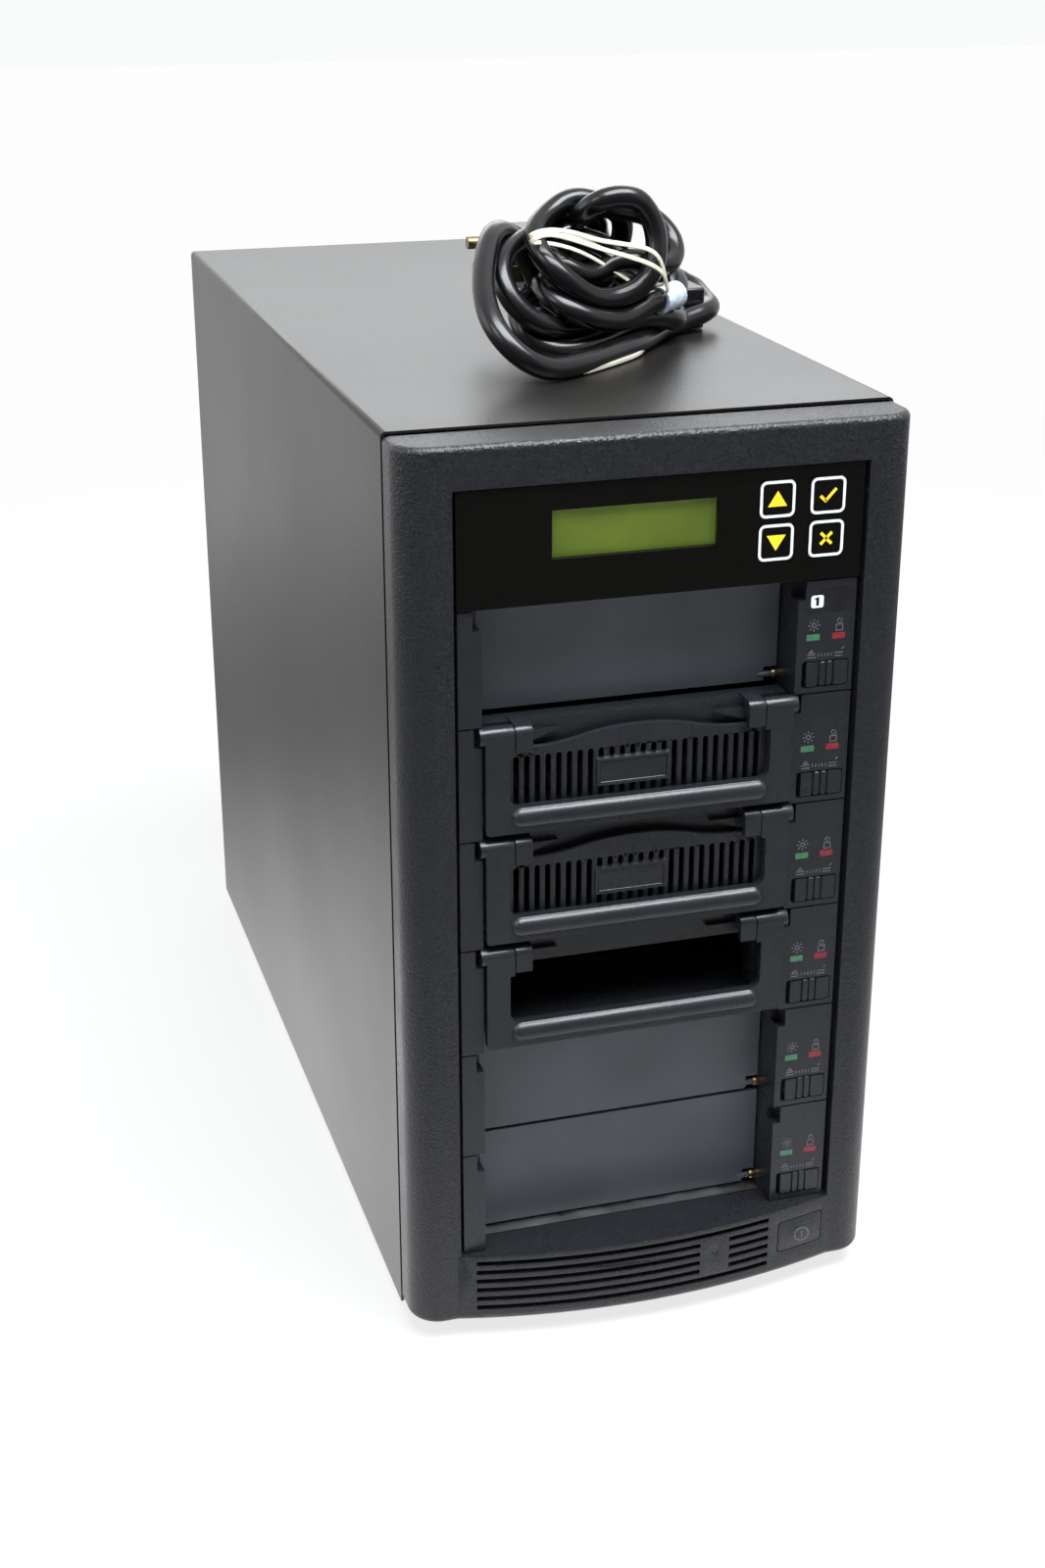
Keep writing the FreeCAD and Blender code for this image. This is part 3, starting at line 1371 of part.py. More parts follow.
def lead_plug():
    """The moulded mains plug: two flat blades, a round earth pin and a tapering grip."""
    plug = Piece("lead_plug", s.plug_across, s.plug_along, CASE_TOP + s.plug_up)
    half, tall, body = s.plug_width / 2, s.plug_height / 2, s.plug_body
    neck = s.lead_diameter * 0.6
    corner = neck * 0.8
    plug.add("YZ", 0, body, rectangle(-half, half, -tall, tall, corner))
    plug.loft("YZ",
              (body, rectangle(-half, half, -tall, tall, corner)),
              (body * 1.7, rectangle(-neck * 1.3, neck * 1.3, -neck * 1.3, neck * 1.3, corner)),
              (body * 2.4, rectangle(-neck, neck, -neck, neck, corner)))
    thick, wide = s.blade_thick / 2, s.blade_width / 2
    drop = s.earth_rise / 2
    plug.add("YZ", -s.blade_length, s.steel, *[
        rectangle(side * s.blade_apart / 2 - thick, side * s.blade_apart / 2 + thick,
                  -wide - drop, wide - drop) for side in (-1, 1)])
    plug.add("YZ", -s.earth_length, s.steel, Circle(0, drop, s.earth_radius))


def lead_connector():
    """The appliance connector: a skirt that fits the inlet, then a grip that tapers to the lead."""
    inner = s.inlet_width / 2 - s.inlet_wall - s.connector_gap
    tall = s.inlet_height / 2 - s.inlet_wall - s.connector_gap
    connector = Piece("lead_connector", s.connector_across, s.connector_along,
                      CASE_TOP + tall + s.connector_gap)
    neck, skirt, grip = s.lead_diameter * 0.6, s.inlet_depth - s.inlet_wall, s.connector_grip
    corner = neck * 0.8
    connector.add("YZ", -skirt, 0, rectangle(-inner, inner, -tall, tall, s.inlet_wall))
    connector.loft("YZ",
                   (-skirt, rectangle(-inner, inner, -tall, tall, corner)),
                   (-skirt - grip / 2, rectangle(-inner * 0.8, inner * 0.8, -tall, tall, corner)),
                   (-skirt - grip, rectangle(-neck, neck, -neck, neck, corner)))


def build():
    cover_shell()
    chassis()
    drive_cage()
    front_bezel()
    power_button()
    power_switch()
    power_lamp()
    feet()
    panel_face()
    display_window()
    keys()
    panel_board()
    panel_housing()
    controller_board()
    for bay, name in enumerate(RACKS):
        rack_frame("rack_" + name, bay)
        lock_slider("lock_" + name, bay)
    backplanes()
    lamps("green_lamps", s.lamp_green_left)
    lamps("red_lamps", s.lamp_red_left)
    for name, bay in CLOSED_BAYS.items():
        shutter("shutter_" + name, bay)
    folded_shutters()
    shutter_springs()
    for label, bay in TRAY_BAYS.items():
        tray_body(label + "_body", bay)
        tray_handle(label + "_handle", bay)
        if label in GRILLED_TRAYS:
            tray_grille(label + "_grille", bay)
    supply_case()
    fans()
    power_inlet()
    rocker_switch()
    case_screws()
    lead_hank()
    lead_plug()
    lead_connector()


def write_parts():
    """Writes each sub-part to its own file, once every object and shape is sound."""
    document.recompute()
    failed = [item.Label for item in document.Objects
              if {"Invalid", "Error"} & set(item.State)]
    bad = [item.Label for item in sub_parts
           if item.Shape.isNull() or not item.Shape.isValid() or not item.Shape.Solids]
    if failed or bad:
        raise RuntimeError(f"failed: {failed}, bad shapes: {bad}")
    os.makedirs("parts", exist_ok=True)
    for item in sub_parts:
        item.Shape.exportStep(f"parts/{item.Label}.step")


build()
write_parts()
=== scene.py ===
"""Dresses the drive duplicator: finishes, prints, the bundled mains lead, lights and camera."""

import json
import math

import bmesh
import bpy
import numpy as np
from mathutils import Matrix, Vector


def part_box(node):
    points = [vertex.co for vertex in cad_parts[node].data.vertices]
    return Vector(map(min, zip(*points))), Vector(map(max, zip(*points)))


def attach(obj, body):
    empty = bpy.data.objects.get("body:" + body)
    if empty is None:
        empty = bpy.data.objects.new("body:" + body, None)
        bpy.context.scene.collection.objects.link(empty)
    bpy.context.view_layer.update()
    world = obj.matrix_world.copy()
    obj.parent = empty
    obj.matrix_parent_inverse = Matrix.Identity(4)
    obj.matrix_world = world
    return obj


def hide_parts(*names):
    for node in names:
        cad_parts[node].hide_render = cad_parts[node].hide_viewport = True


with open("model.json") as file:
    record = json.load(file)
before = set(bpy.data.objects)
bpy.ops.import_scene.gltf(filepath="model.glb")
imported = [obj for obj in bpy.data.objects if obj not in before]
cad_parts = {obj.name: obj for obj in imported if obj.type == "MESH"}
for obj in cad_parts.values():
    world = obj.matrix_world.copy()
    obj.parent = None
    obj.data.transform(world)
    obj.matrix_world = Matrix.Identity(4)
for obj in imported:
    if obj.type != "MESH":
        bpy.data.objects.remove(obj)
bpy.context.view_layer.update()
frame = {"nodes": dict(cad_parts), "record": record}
nodes = frame["nodes"]

MM = 0.001
LEAD_DIAMETER = 8.6 * MM

# Finishes

SLOT_OF = {row["node"]: row["material_slot"] for row in frame["record"]["subparts"]}
# The levels of the noise between which a blotch goes from one end of its range to the other.
BLOTCH_LOW = 0.3
BLOTCH_HIGH = 0.7


class Finish:
    """A node material around one principled shader, built up from procedural layers."""

    def __init__(self, name, colour, roughness, metallic=0.0, **sockets):
        self.name = name
        self.material = bpy.data.materials.new(name)
        self.material.use_nodes = True
        self.tree = self.material.node_tree
        self.shader = self.tree.nodes["Principled BSDF"]
        self.colour = colour
        self.roughness = roughness
        self.shader.inputs["Base Color"].default_value = (*colour, 1)
        self.shader.inputs["Roughness"].default_value = roughness
        self.shader.inputs["Metallic"].default_value = metallic
        for socket, value in sockets.items():
            self.shader.inputs[socket.replace("_", " ")].default_value = value
        self.coordinates = self.node("ShaderNodeTexCoord").outputs["Object"]
        self.bumps = None

    def node(self, kind, **settings):
        node = self.tree.nodes.new(kind)
        for name, value in settings.items():
            setattr(node, name, value)
        return node

    def link(self, source, target):
        self.tree.links.new(source, target)

    def noise(self, size, detail=3.0):
        """Noise whose blotches are about a size across, in metres."""
        mapping = self.node("ShaderNodeMapping")
        mapping.inputs["Scale"].default_value = [1 / size] * 3
        self.link(self.coordinates, mapping.inputs["Vector"])
        texture = self.node("ShaderNodeTexNoise")
        texture.inputs["Scale"].default_value = 1.0
        texture.inputs["Detail"].default_value = detail
        self.link(mapping.outputs["Vector"], texture.inputs["Vector"])
        return texture.outputs["Fac"]

    def vary_colour(self, size, spread):
        """Lightens and darkens the colour in soft blotches."""
        ramp = self.node("ShaderNodeValToRGB")
        dark, light = ramp.color_ramp.elements[0], ramp.color_ramp.elements[1]
        dark.position = BLOTCH_LOW
        light.position = BLOTCH_HIGH
        dark.color = (*[c * (1 - spread) for c in self.colour], 1)
        light.color = (*[min(c * (1 + spread), 1) for c in self.colour], 1)
        self.link(self.noise(size), ramp.inputs["Fac"])
        self.link(ramp.outputs["Color"], self.shader.inputs["Base Color"])
        return self

    def vary_roughness(self, size, spread):
        """Makes soft blotches duller and shinier."""
        spread_out = self.node("ShaderNodeMapRange")
        spread_out.inputs["From Min"].default_value = BLOTCH_LOW
        spread_out.inputs["From Max"].default_value = BLOTCH_HIGH
        spread_out.inputs["To Min"].default_value = max(self.roughness - spread, 0.02)
        spread_out.inputs["To Max"].default_value = min(self.roughness + spread, 1.0)
        self.link(self.noise(size), spread_out.inputs["Value"])
        self.link(spread_out.outputs["Result"], self.shader.inputs["Roughness"])
        return self

    def grain(self, size, height, detail=2.0):
        """Adds a layer of relief, in metres."""
        bump = self.node("ShaderNodeBump")
        bump.inputs["Strength"].default_value = 1.0
        bump.inputs["Distance"].default_value = height
        self.link(self.noise(size, detail), bump.inputs["Height"])
        if self.bumps:
            self.link(self.bumps, bump.inputs["Normal"])
        self.bumps = bump.outputs["Normal"]
        self.link(self.bumps, self.shader.inputs["Normal"])
        return self


def moulded(name, colour, roughness, grain, height):
    """Moulded plastic with an eroded texture."""
    finish = Finish(name, colour, roughness)
    return finish.vary_colour(0.03, 0.12).vary_roughness(0.02, 0.04).grain(grain, height)


def sheet_metal(name, colour, roughness):
    """Bare or plated metal with a faint spangle."""
    finish = Finish(name, colour, roughness, metallic=1.0)
    return finish.vary_colour(0.012, 0.10).vary_roughness(0.008, 0.08).grain(0.0006, 0.00001, 3.0)


def finishes():
    """One material for each slot of the record, and a few for prints and ties."""
    powder = Finish("powder_black", (0.012, 0.0105, 0.0095), 0.34)
    powder.vary_colour(0.35, 0.3).vary_roughness(0.2, 0.03).grain(0.0009, 0.00010)
    bezel = Finish("bezel_black", (0.011, 0.012, 0.0145), 0.31)
    bezel.vary_colour(0.0008, 0.6).vary_roughness(0.02, 0.04).grain(0.0009, 0.0004)
    display = Finish("display_green", (0.088, 0.130, 0.012), 0.25,
                     Coat_Weight=0.3, Coat_Roughness=0.05)
    display.vary_colour(0.035, 0.22)
    face = Finish("gloss_black", (0.003, 0.003, 0.0025), 0.06, Specular_IOR_Level=0.22)
    face.vary_roughness(0.02, 0.03).grain(0.02, 0.00001)
    board = Finish("board_green", (0.02, 0.12, 0.05), 0.3)
    board.vary_colour(0.004, 0.35).grain(0.002, 0.00004)
    lead = Finish("lead_black", (0.003, 0.003, 0.004), 0.24)
    lead.vary_colour(0.02, 0.3).vary_roughness(0.02, 0.02).grain(0.004, 0.00001)
    spring = Finish("spring_brass", (0.26, 0.19, 0.10), 0.36, metallic=1.0)
    spring.vary_colour(0.003, 0.3).vary_roughness(0.002, 0.1)
    rubber = Finish("rubber", (0.015, 0.015, 0.015), 0.75)
    rubber.vary_colour(0.01, 0.2).grain(0.0008, 0.00005)
    green = Finish("lamp_green", (0.045, 0.15, 0.075), 0.35)
    red = Finish("lamp_red", (0.20, 0.012, 0.022), 0.35)
    clear = Finish("lamp_clear", (0.05, 0.055, 0.06), 0.2, Transmission_Weight=0.5)
    for lamp in (green, red, clear):
        lamp.vary_colour(0.002, 0.25)
    band = Finish("band_rubber", (0.80, 0.72, 0.56), 0.5, Subsurface_Weight=0.15)
    band.vary_colour(0.006, 0.12).grain(0.0015, 0.00008)
    paper = Finish("tag_paper", (0.52, 0.60, 0.70), 0.6)
    paper.vary_colour(0.003, 0.25).grain(0.0025, 0.0002)
    white = Finish("print_white", (0.78, 0.81, 0.86), 0.4)
    white.vary_colour(0.002, 0.08)
    yellow = Finish("print_yellow", (0.95, 0.68, 0.012), 0.4)
    yellow.vary_colour(0.002, 0.06)
    # Painted highlight: the moulded marks are the same black plastic as the racks and the button,
    # painted lighter to stand for the light their relief catches.
    relief = Finish("relief_painted_highlight", (0.11, 0.115, 0.125), 0.3)
    relief.vary_colour(0.001, 0.3)
    film = Finish("film_black", (0.012, 0.012, 0.014), 0.16)
    film.vary_colour(0.006, 0.3).grain(0.008, 0.00002)
    made = [powder, bezel, display, face, board, lead, spring, rubber, green, red, clear,
            band, paper, white, yellow, relief, film,
            moulded("rack_black", (0.013, 0.0145, 0.018), 0.28, 0.0006, 0.00005),
            moulded("shutter_black", (0.055, 0.060, 0.070), 0.42, 0.0005, 0.00006),
            moulded("dark_plastic", (0.012, 0.012, 0.012), 0.35, 0.0006, 0.00002),
            sheet_metal("zinc_steel", (0.50, 0.51, 0.52), 0.35),
            sheet_metal("screw_steel", (0.5, 0.5, 0.52), 0.3),
            sheet_metal("chrome_wire", (0.7, 0.7, 0.72), 0.15)]
    return {finish.name: finish.material for finish in made}


MATERIALS = finishes()


def dress(thing, *slots):
    """Gives a piece the finishes of its slots, in place of any that it has."""
    thing.data.materials.clear()
    for slot in slots:
        thing.data.materials.append(MATERIALS[slot])


# The width of the broken edges in millimetres, where it isn't the usual one.
EDGE = 0.45
EDGES = {"cover_shell": 0.3, "front_bezel": 0.35, "panel_face": 0.15, "power_button": 0.4}
WELD_REACH = 0.00001
SHARPEST_KEPT = math.radians(40)
SHARP_SLOTS = ("board_green", "zinc_steel", "lamp_green", "lamp_red", "display_green")


def soften_edges(thing, width):
    """Breaks the sharp edges, as a moulded or folded piece has them."""
    weld = thing.modifiers.new("Weld", "WELD")
    weld.merge_threshold = WELD_REACH
    bevel = thing.modifiers.new("Edges", "BEVEL")
    bevel.width = width
    bevel.segments = 2
    bevel.limit_method = "ANGLE"
    bevel.angle_limit = SHARPEST_KEPT
    bevel.use_clamp_overlap = True


def dress_nodes():
    """Gives each solid the finish of its slot, and softens the edges of all but the sharp ones."""
    for name, thing in nodes.items():
        slot = SLOT_OF[name]
        dress(thing, slot)
        if slot not in SHARP_SLOTS:
            soften_edges(thing, EDGES.get(name, EDGE) * MM)


# How far the plug's metal reaches from its left end.
PIN_REACH = 19.5 * MM


def brass_pins():
    """The plug's blades and earth pin are brass: the faces left of its moulded body."""
    plug = nodes["lead_plug"]
    dress(plug, "lead_black", "spring_brass")
    body_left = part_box("lead_plug")[0].x + PIN_REACH
    for face in plug.data.polygons:
        if face.center.x < body_left:
            face.material_index = 1


# Mains lead

# Each turn of the bundle: its middle from where the lead leaves the plug, its long half, and its
# short half at the left and right ends. They differ, because the turns fan out past the bands.
TURNS = [
    ((-14, -44, 11), (25, 3, -2), (0, -8, -7), (0, -5, -32)),
    ((7, -19, 3), (37, 8, -1), (0, -13, -5), (0, -14, -3)),
    ((-2.5, -32, -7), (31.5, 15, -9), (0, -14, -12), (0, -18, -2)),
    ((-5, -28.5, -23.5), (42, 23.5, 0.5), (0, -8, -2), (0, -22, 0)),
    ((-3, -23, -10), (44, 24, -8), (0, -10, -20), (0, -20, -4)),
    ((-1, -21, -15), (61, 46, -11), (-8, -54, -30), (2, -12, -1)),
]
FIRST_TURN = 0.12
LAST_TURN = 5.8
STRIDE = 6 * MM
# From the plug up to the first turn, and from the last turn into the appliance connector.
LEAVING = [(0, 0, 0), (7, 0, 0), (14, -1, 2), (18, -5, 8), (15, -9, 14), (8, -13, 17), (0, -17, 17),
           (-7, -22, 17), (-12, -29, 18), (-13, -36, 21), (-9, -42, 27), (-3, -44, 33)]
ENTERING = [(-59, -51, 34), (-52, -40, 36), (-44, -32, 33), (-36, -29, 27), (-30, -28, 18),
            (-26, -24, 9), (-20, -14, 3), (-12, -4, 0.5), (-6, 0, 0.3), (0, 0, 0)]
# How the lead settles: its ends stay straight for some points, parts of it nearer along the lead
# than the stiff reach don't push each other, and no bend should be tighter, in diameters.
STRAIGHT_ENDS = 3
STIFF_REACH = 2.6
TIGHTEST = 1.9
ROUNDS = 400
LENGTH_ROUNDS = 3
# The shares of its way that a point goes in each round: onto the smooth line, out of a tight bend,
# back to where it was drawn, and back to its distance from the next.
SMOOTHING = 0.25
UNBENDING = 0.35
HOMING = 0.02
RECOIL = 0.45
# Turns nearer than this share of the diameter push each other.
CONTACT = 1.02
NO_DISTANCE = 1e-9


def turn_point(turned):
    """The place after so many turns, each turn blending into the next."""
    rows = np.array(TURNS) * MM
    place = min(max(turned - 0.5, 0), len(rows) - 1)
    turn = min(int(place), len(rows) - 2)
    share = place - turn
    middle, long_half, at_left, at_right = rows[turn] * (1 - share) + rows[turn + 1] * share
    angle = 2 * math.pi * (turned + 0.75)
    rightness = (1 + math.cos(angle)) / 2
    short_half = at_left * (1 - rightness) + at_right * rightness
    return middle + long_half * math.cos(angle) + short_half * math.sin(angle)


def wound_turns():
    """The turns one after another, a point every stride."""
    points = []
    turned, nudge = FIRST_TURN, 0.002
    while turned < LAST_TURN:
        point = turn_point(turned)
        points.append(point)
        turned += nudge * STRIDE / np.linalg.norm(turn_point(turned + nudge) - point)
    return points


def keep_out(points, low, high):
    """Moves the points inside a box out through its nearest side."""
    inside = np.all((points > low) & (points < high), axis=1)
    for index in np.flatnonzero(inside):
        depths = np.concatenate([points[index] - low, high - points[index]])
        side = depths.argmin()
        points[index, side % 3] = low[side] if side < 3 else high[side - 3]


def settle(points, thick, blocks, floor):
    """Lets a stiff lead find its place: turns push each other apart and rest on the floor."""
    home = points.copy()
    rest = np.linalg.norm(np.diff(points, axis=0), axis=1)
    along = np.concatenate([[0], np.cumsum(rest)])
    strangers = abs(along[:, None] - along[None, :]) > STIFF_REACH * thick
    slack = np.zeros(len(points))
    slack[1:-1] = rest[1:] * rest[:-1] / (2 * TIGHTEST * thick)
    for _ in range(ROUNDS):
        apart = points[:, None] - points[None, :]
        distance = np.linalg.norm(apart, axis=2) + NO_DISTANCE
        touching = strangers & (distance < thick * CONTACT)
        push = np.where(touching, (thick * CONTACT - distance) / distance / 2, 0)
        neighbours = np.maximum(touching.sum(1), 1)[:, None]
        points = points + (apart * push[..., None]).sum(1) / neighbours
        smooth = points.copy()
        smooth[2:-2] = (4 * points[1:-3] + 4 * points[3:-1] - points[:-4] - points[4:]) / 6
        points = points + (smooth - points) * SMOOTHING
        chord = points.copy()
        chord[1:-1] = (points[:-2] + points[2:]) / 2
        bent = np.linalg.norm(chord - points, axis=1) > slack
        points[bent] += (chord - points)[bent] * UNBENDING
        points += (home - points) * HOMING
        for _ in range(LENGTH_ROUNDS):
            run = points[1:] - points[:-1]
            length = np.linalg.norm(run, axis=1)
            stretch = run * ((1 - rest / length) * RECOIL)[:, None]
            points[:-1] += stretch
            points[1:] -= stretch
        points[:, 2] = np.maximum(points[:, 2], floor + thick / 2)
        for low, high in blocks:
            keep_out(points, low - thick / 2, high + thick / 2)
        points[:STRAIGHT_ENDS] = home[:STRAIGHT_ENDS]
        points[-STRAIGHT_ENDS:] = home[-STRAIGHT_ENDS:]
    return points


def tube(name, points, radius, slot, flat=0.0, closed=False):
    """A round piece, or a flat one with round edges, along one smooth spline."""
    curve = bpy.data.curves.new(name, "CURVE")
    curve.dimensions = "3D"
    curve.bevel_depth = radius
    curve.extrude = flat
    curve.bevel_resolution = 5
    curve.use_fill_caps = True
    spline = curve.splines.new("NURBS")
    spline.points.add(len(points) - 1)
    for point, place in zip(spline.points, points):
        point.co = (*place, 1)
    spline.order_u = 3
    spline.use_endpoint_u = not closed
    spline.use_cyclic_u = closed
    spline.resolution_u = 4
    piece = bpy.data.objects.new(name, curve)
    bpy.context.scene.collection.objects.link(piece)
    dress(piece, slot)
    return piece


# The two bands from the top left over the bundle to the tag, and one low on the lid, each from
# where the lead leaves the plug.
BANDS = {
    "upper_band": [(-41, -53, 15), (-35, -54, 18), (-24, -53, 17), (-13, -53, 13), (-2, -52, 11),
                   (8, -53, 9), (13, -51, 5), (16, -48, -1), (18, -45, -6), (16, -36, -8),
                   (4, -33, 2), (-14, -36, 12), (-30, -42, 15)],
    "lower_band": [(-41, -54, 13), (-34, -55, 17), (-23, -54, 14), (-12, -54, 10), (-2, -54, 7),
                   (7, -54, 4), (14, -52, 0), (17, -48, -5), (19, -45, -10), (17, -36, -13),
                   (4, -34, -4), (-14, -37, 7), (-31, -44, 12)],
    "floor_band": [(-29, -80, -31), (-17, -71, -31), (-5, -61, -31), (8, -49, -31), (12, -40, -28),
                   (0, -42, -28), (-14, -52, -28), (-27, -68, -29)],
}
BAND_RADIUS = 0.35 * MM
BAND_FLAT = 0.55 * MM
TAG_SPOT = (23, -37, -16)
TAG_LENGTH = 12 * MM
TAG_RADIUS = 5.3 * MM


def tag(points, spot):
    """A paper sleeve folded round the lead where it passes a spot."""
    near = np.linalg.norm(points - spot, axis=1).argmin()
    along = points[near + 1] - points[near - 1]
    along /= np.linalg.norm(along)
    middle = points[near]
    sleeve = [middle - along * TAG_LENGTH / 2, middle, middle + along * TAG_LENGTH / 2]
    return tube("lead_tag", sleeve, TAG_RADIUS, "tag_paper")


def mains_lead():
    """The lead, bundled on the lid, from its plug to its appliance connector."""
    plug_low, plug_high = (np.array(corner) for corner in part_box("lead_plug"))
    grip_low, grip_high = (np.array(corner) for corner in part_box("lead_connector"))
    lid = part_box("cover_shell")[1].z
    leave = np.array([plug_high[0], *(plug_low + plug_high)[1:] / 2])
    enter = np.array([grip_low[0], *(grip_low + grip_high)[1:] / 2])
    route = [*(leave + np.array(LEAVING) * MM), *(leave + np.array(wound_turns())),
             *(enter + np.array(ENTERING) * MM)]
    blocks = [(plug_low, plug_high), (grip_low, grip_high)]
    points = settle(np.array(route), LEAD_DIAMETER, blocks, lid)
    lead = tube("mains_lead", points, LEAD_DIAMETER / 2, "lead_black")
    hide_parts("lead_hank")
    extras = [tube(name, leave + np.array(spots) * MM, BAND_RADIUS, "band_rubber", BAND_FLAT, True)
              for name, spots in BANDS.items()]
    extras.append(tag(points, leave + np.array(TAG_SPOT) * MM))
    for piece in (lead, *extras):
        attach(piece, "case")


# Prints and marks: flat outlines in X and Z, in millimetres, raised from a face that looks along -Y

def box_outline(left, right, low, high, corner=0.0, steps=5):
    """A rectangle with round corners, as points in order."""
    points = []
    corners = ((right, high, 0), (left, high, 90), (left, low, 180), (right, low, 270))
    for side_x, side_z, first in corners:
        middle_x = side_x - math.copysign(corner, side_x - (left + right) / 2)
        middle_z = side_z - math.copysign(corner, side_z - (low + high) / 2)
        for step in range(steps + 1):
            angle = math.radians(first + 90 * step / steps)
            points.append((middle_x + corner * math.cos(angle),
                           middle_z + corner * math.sin(angle)))
    return points


def disc_outline(x, z, radius, steps=24):
    """A circle, as points in order."""
    turns = [2 * math.pi * step / steps for step in range(steps)]
    return [(x + radius * math.cos(turn), z + radius * math.sin(turn)) for turn in turns]


def stroke_outline(x0, z0, x1, z1, width):
    """A straight stroke between two points."""
    length = math.hypot(x1 - x0, z1 - z0)
    across, up = -(z1 - z0) / length * width / 2, (x1 - x0) / length * width / 2
    return [(x0 + across, z0 + up), (x0 - across, z0 - up),
            (x1 - across, z1 - up), (x1 + across, z1 + up)]


class Mark:
    """A printed or moulded mark made of thin raised shapes on one face."""

    def __init__(self, x, y, z, proud):
        self.mesh = bmesh.new()
        self.place = (x, y, z)
        self.proud = proud

    def ring_of(self, outline, y):
        """New corners of the mesh along an outline, at a depth."""
        x0, y0, z0 = self.place
        return [self.mesh.verts.new(((x0 + x) * MM, (y0 + y) * MM, (z0 + z) * MM))
                for x, z in outline]

    def add(self, outline, hole=None):
        """One closed shape, or a frame between an outline and a hole with as many points."""
        front, back = self.ring_of(outline, -self.proud), self.ring_of(outline, 0)
        rings = [(front, back)]
        if hole:
            rings.append((self.ring_of(hole, -self.proud), self.ring_of(hole, 0)))
        count = len(outline)
        for near, far in rings:
            for index in range(count):
                after = (index + 1) % count
                self.mesh.faces.new((near[index], near[after], far[after], far[index]))
        for layer in (0, 1):
            if not hole:
                self.mesh.faces.new(rings[0][layer])
                continue
            outer, inner = rings[0][layer], rings[1][layer]
            for index in range(count):
                after = (index + 1) % count
                self.mesh.faces.new((outer[index], outer[after], inner[after], inner[index]))

    def done(self, name, material, body):
        """Makes the shapes one piece that rides on a body."""
        bmesh.ops.recalc_face_normals(self.mesh, faces=self.mesh.faces)
        mesh = bpy.data.meshes.new(name)
        self.mesh.to_mesh(mesh)
        self.mesh.free()
        piece = bpy.data.objects.new(name, mesh)
        bpy.context.scene.collection.objects.link(piece)
        dress(piece, material)
        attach(piece, body)


def front_of(node):
    """The middle of a node's front face, in millimetres."""
    low, high = (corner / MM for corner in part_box(node))
    return (low.x + high.x) / 2, low.y, (low.z + high.z) / 2


# The ink's height, and the frames and symbols of the keys.
PRINT = 0.06
KEY_HALF = 6.55
KEY_LINE = 1.0
KEY_CORNER = 2.3
KEY_STROKE = 1.1
ARROW_HEAD = [(-3.6, -2.6), (3.6, -2.6), (0, 3.0)]
TICK = ((-2.9, -0.1, -0.7, -2.2), (-1.1, -2.1, 3.0, 2.3))
CROSS = ((-2.1, -2.1, 2.1, 2.1), (-2.1, 2.1, 2.1, -2.1))


def key_prints():
    """White frames round the four keys, with an up arrow, a down arrow, a tick and a cross."""
    half = KEY_HALF
    inner = half - KEY_LINE
    symbols = {
        "key_up": [ARROW_HEAD],
        "key_down": [[(x, -z) for x, z in reversed(ARROW_HEAD)]],
        "key_ok": [stroke_outline(*line, KEY_STROKE) for line in TICK],
        "key_esc": [stroke_outline(*line, KEY_STROKE) for line in CROSS],
    }
    for key, shapes in symbols.items():
        place = front_of(key)
        frame_print = Mark(*place, PRINT)
        frame_print.add(box_outline(-half, half, -half, half, KEY_CORNER),
                        box_outline(-inner, inner, -inner, inner, KEY_CORNER - KEY_LINE))
        frame_print.done(key + "_frame", "print_white", key)
        symbol = Mark(*place, PRINT)
        for shape in shapes:
            symbol.add(shape)
        symbol.done(key + "_symbol", "print_yellow", key)


# The symbol moulded into the power button, and how far the moulded marks stand out.
SYMBOL_RING = (3.1, 2.7)
SYMBOL_BAR = (0, -1.4, 0, 1.6)
SYMBOL_STROKE = 0.4
SYMBOL_RELIEF = 0.2
SYMBOL_SUNK = 0.05
RELIEF = 0.12
LINE = 0.32


def power_symbol():
    """A ring with a bar, moulded into the power button."""
    low, high = (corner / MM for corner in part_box("power_button"))
    mark = Mark((low.x + high.x) / 2, low.y + SYMBOL_SUNK, (low.z + high.z) / 2, SYMBOL_RELIEF)
    mark.add(*(disc_outline(0, 0, radius) for radius in SYMBOL_RING))
    mark.add(stroke_outline(*SYMBOL_BAR, SYMBOL_STROKE))
    # The symbol takes the lighter finish of the moulded marks, a painted highlight.
    mark.done("power_symbol", "relief_painted_highlight", "power_button")


# The marks of a rack's column, from the machine's middle and from the rack's foot.
RACKS = ["rack_source"] + [f"rack_target_{number}" for number in range(1, 6)]
RACK_FOOT = 0.3
SUN = (58.0, 25.8)
SUN_RING = (0.95, 0.6)
SUN_STEPS = 16
RAYS = 8
RAY_FROM = 1.5
RAY_TO = 2.3
PADLOCK_BODY = ((66.5, 69.3, 23.1, 25.6), (66.8, 69.0, 23.4, 25.3))
PADLOCK_BOW = ((66.9, 68.9, 25.9, 27.8, 0.95), (67.2, 68.6, 26.1, 27.5, 0.65))
LEDGER_LEFT = (55.9, 66.6)
LEDGER_UP = (13.7, 14.8)
LEDGER_LENGTH = 3.2
ARROW = ([(56.3, 15.4), (58.7, 15.4), (57.5, 16.7)], [(56.8, 15.6), (58.2, 15.6), (57.5, 16.3)])
SLANT = (69.2, 16.0, 70.1, 16.8)
TICKS = 5
TICK_FIRST = 60.2
TICK_STEP = 1.3
TICK_SPAN = (13.8, 15.0)


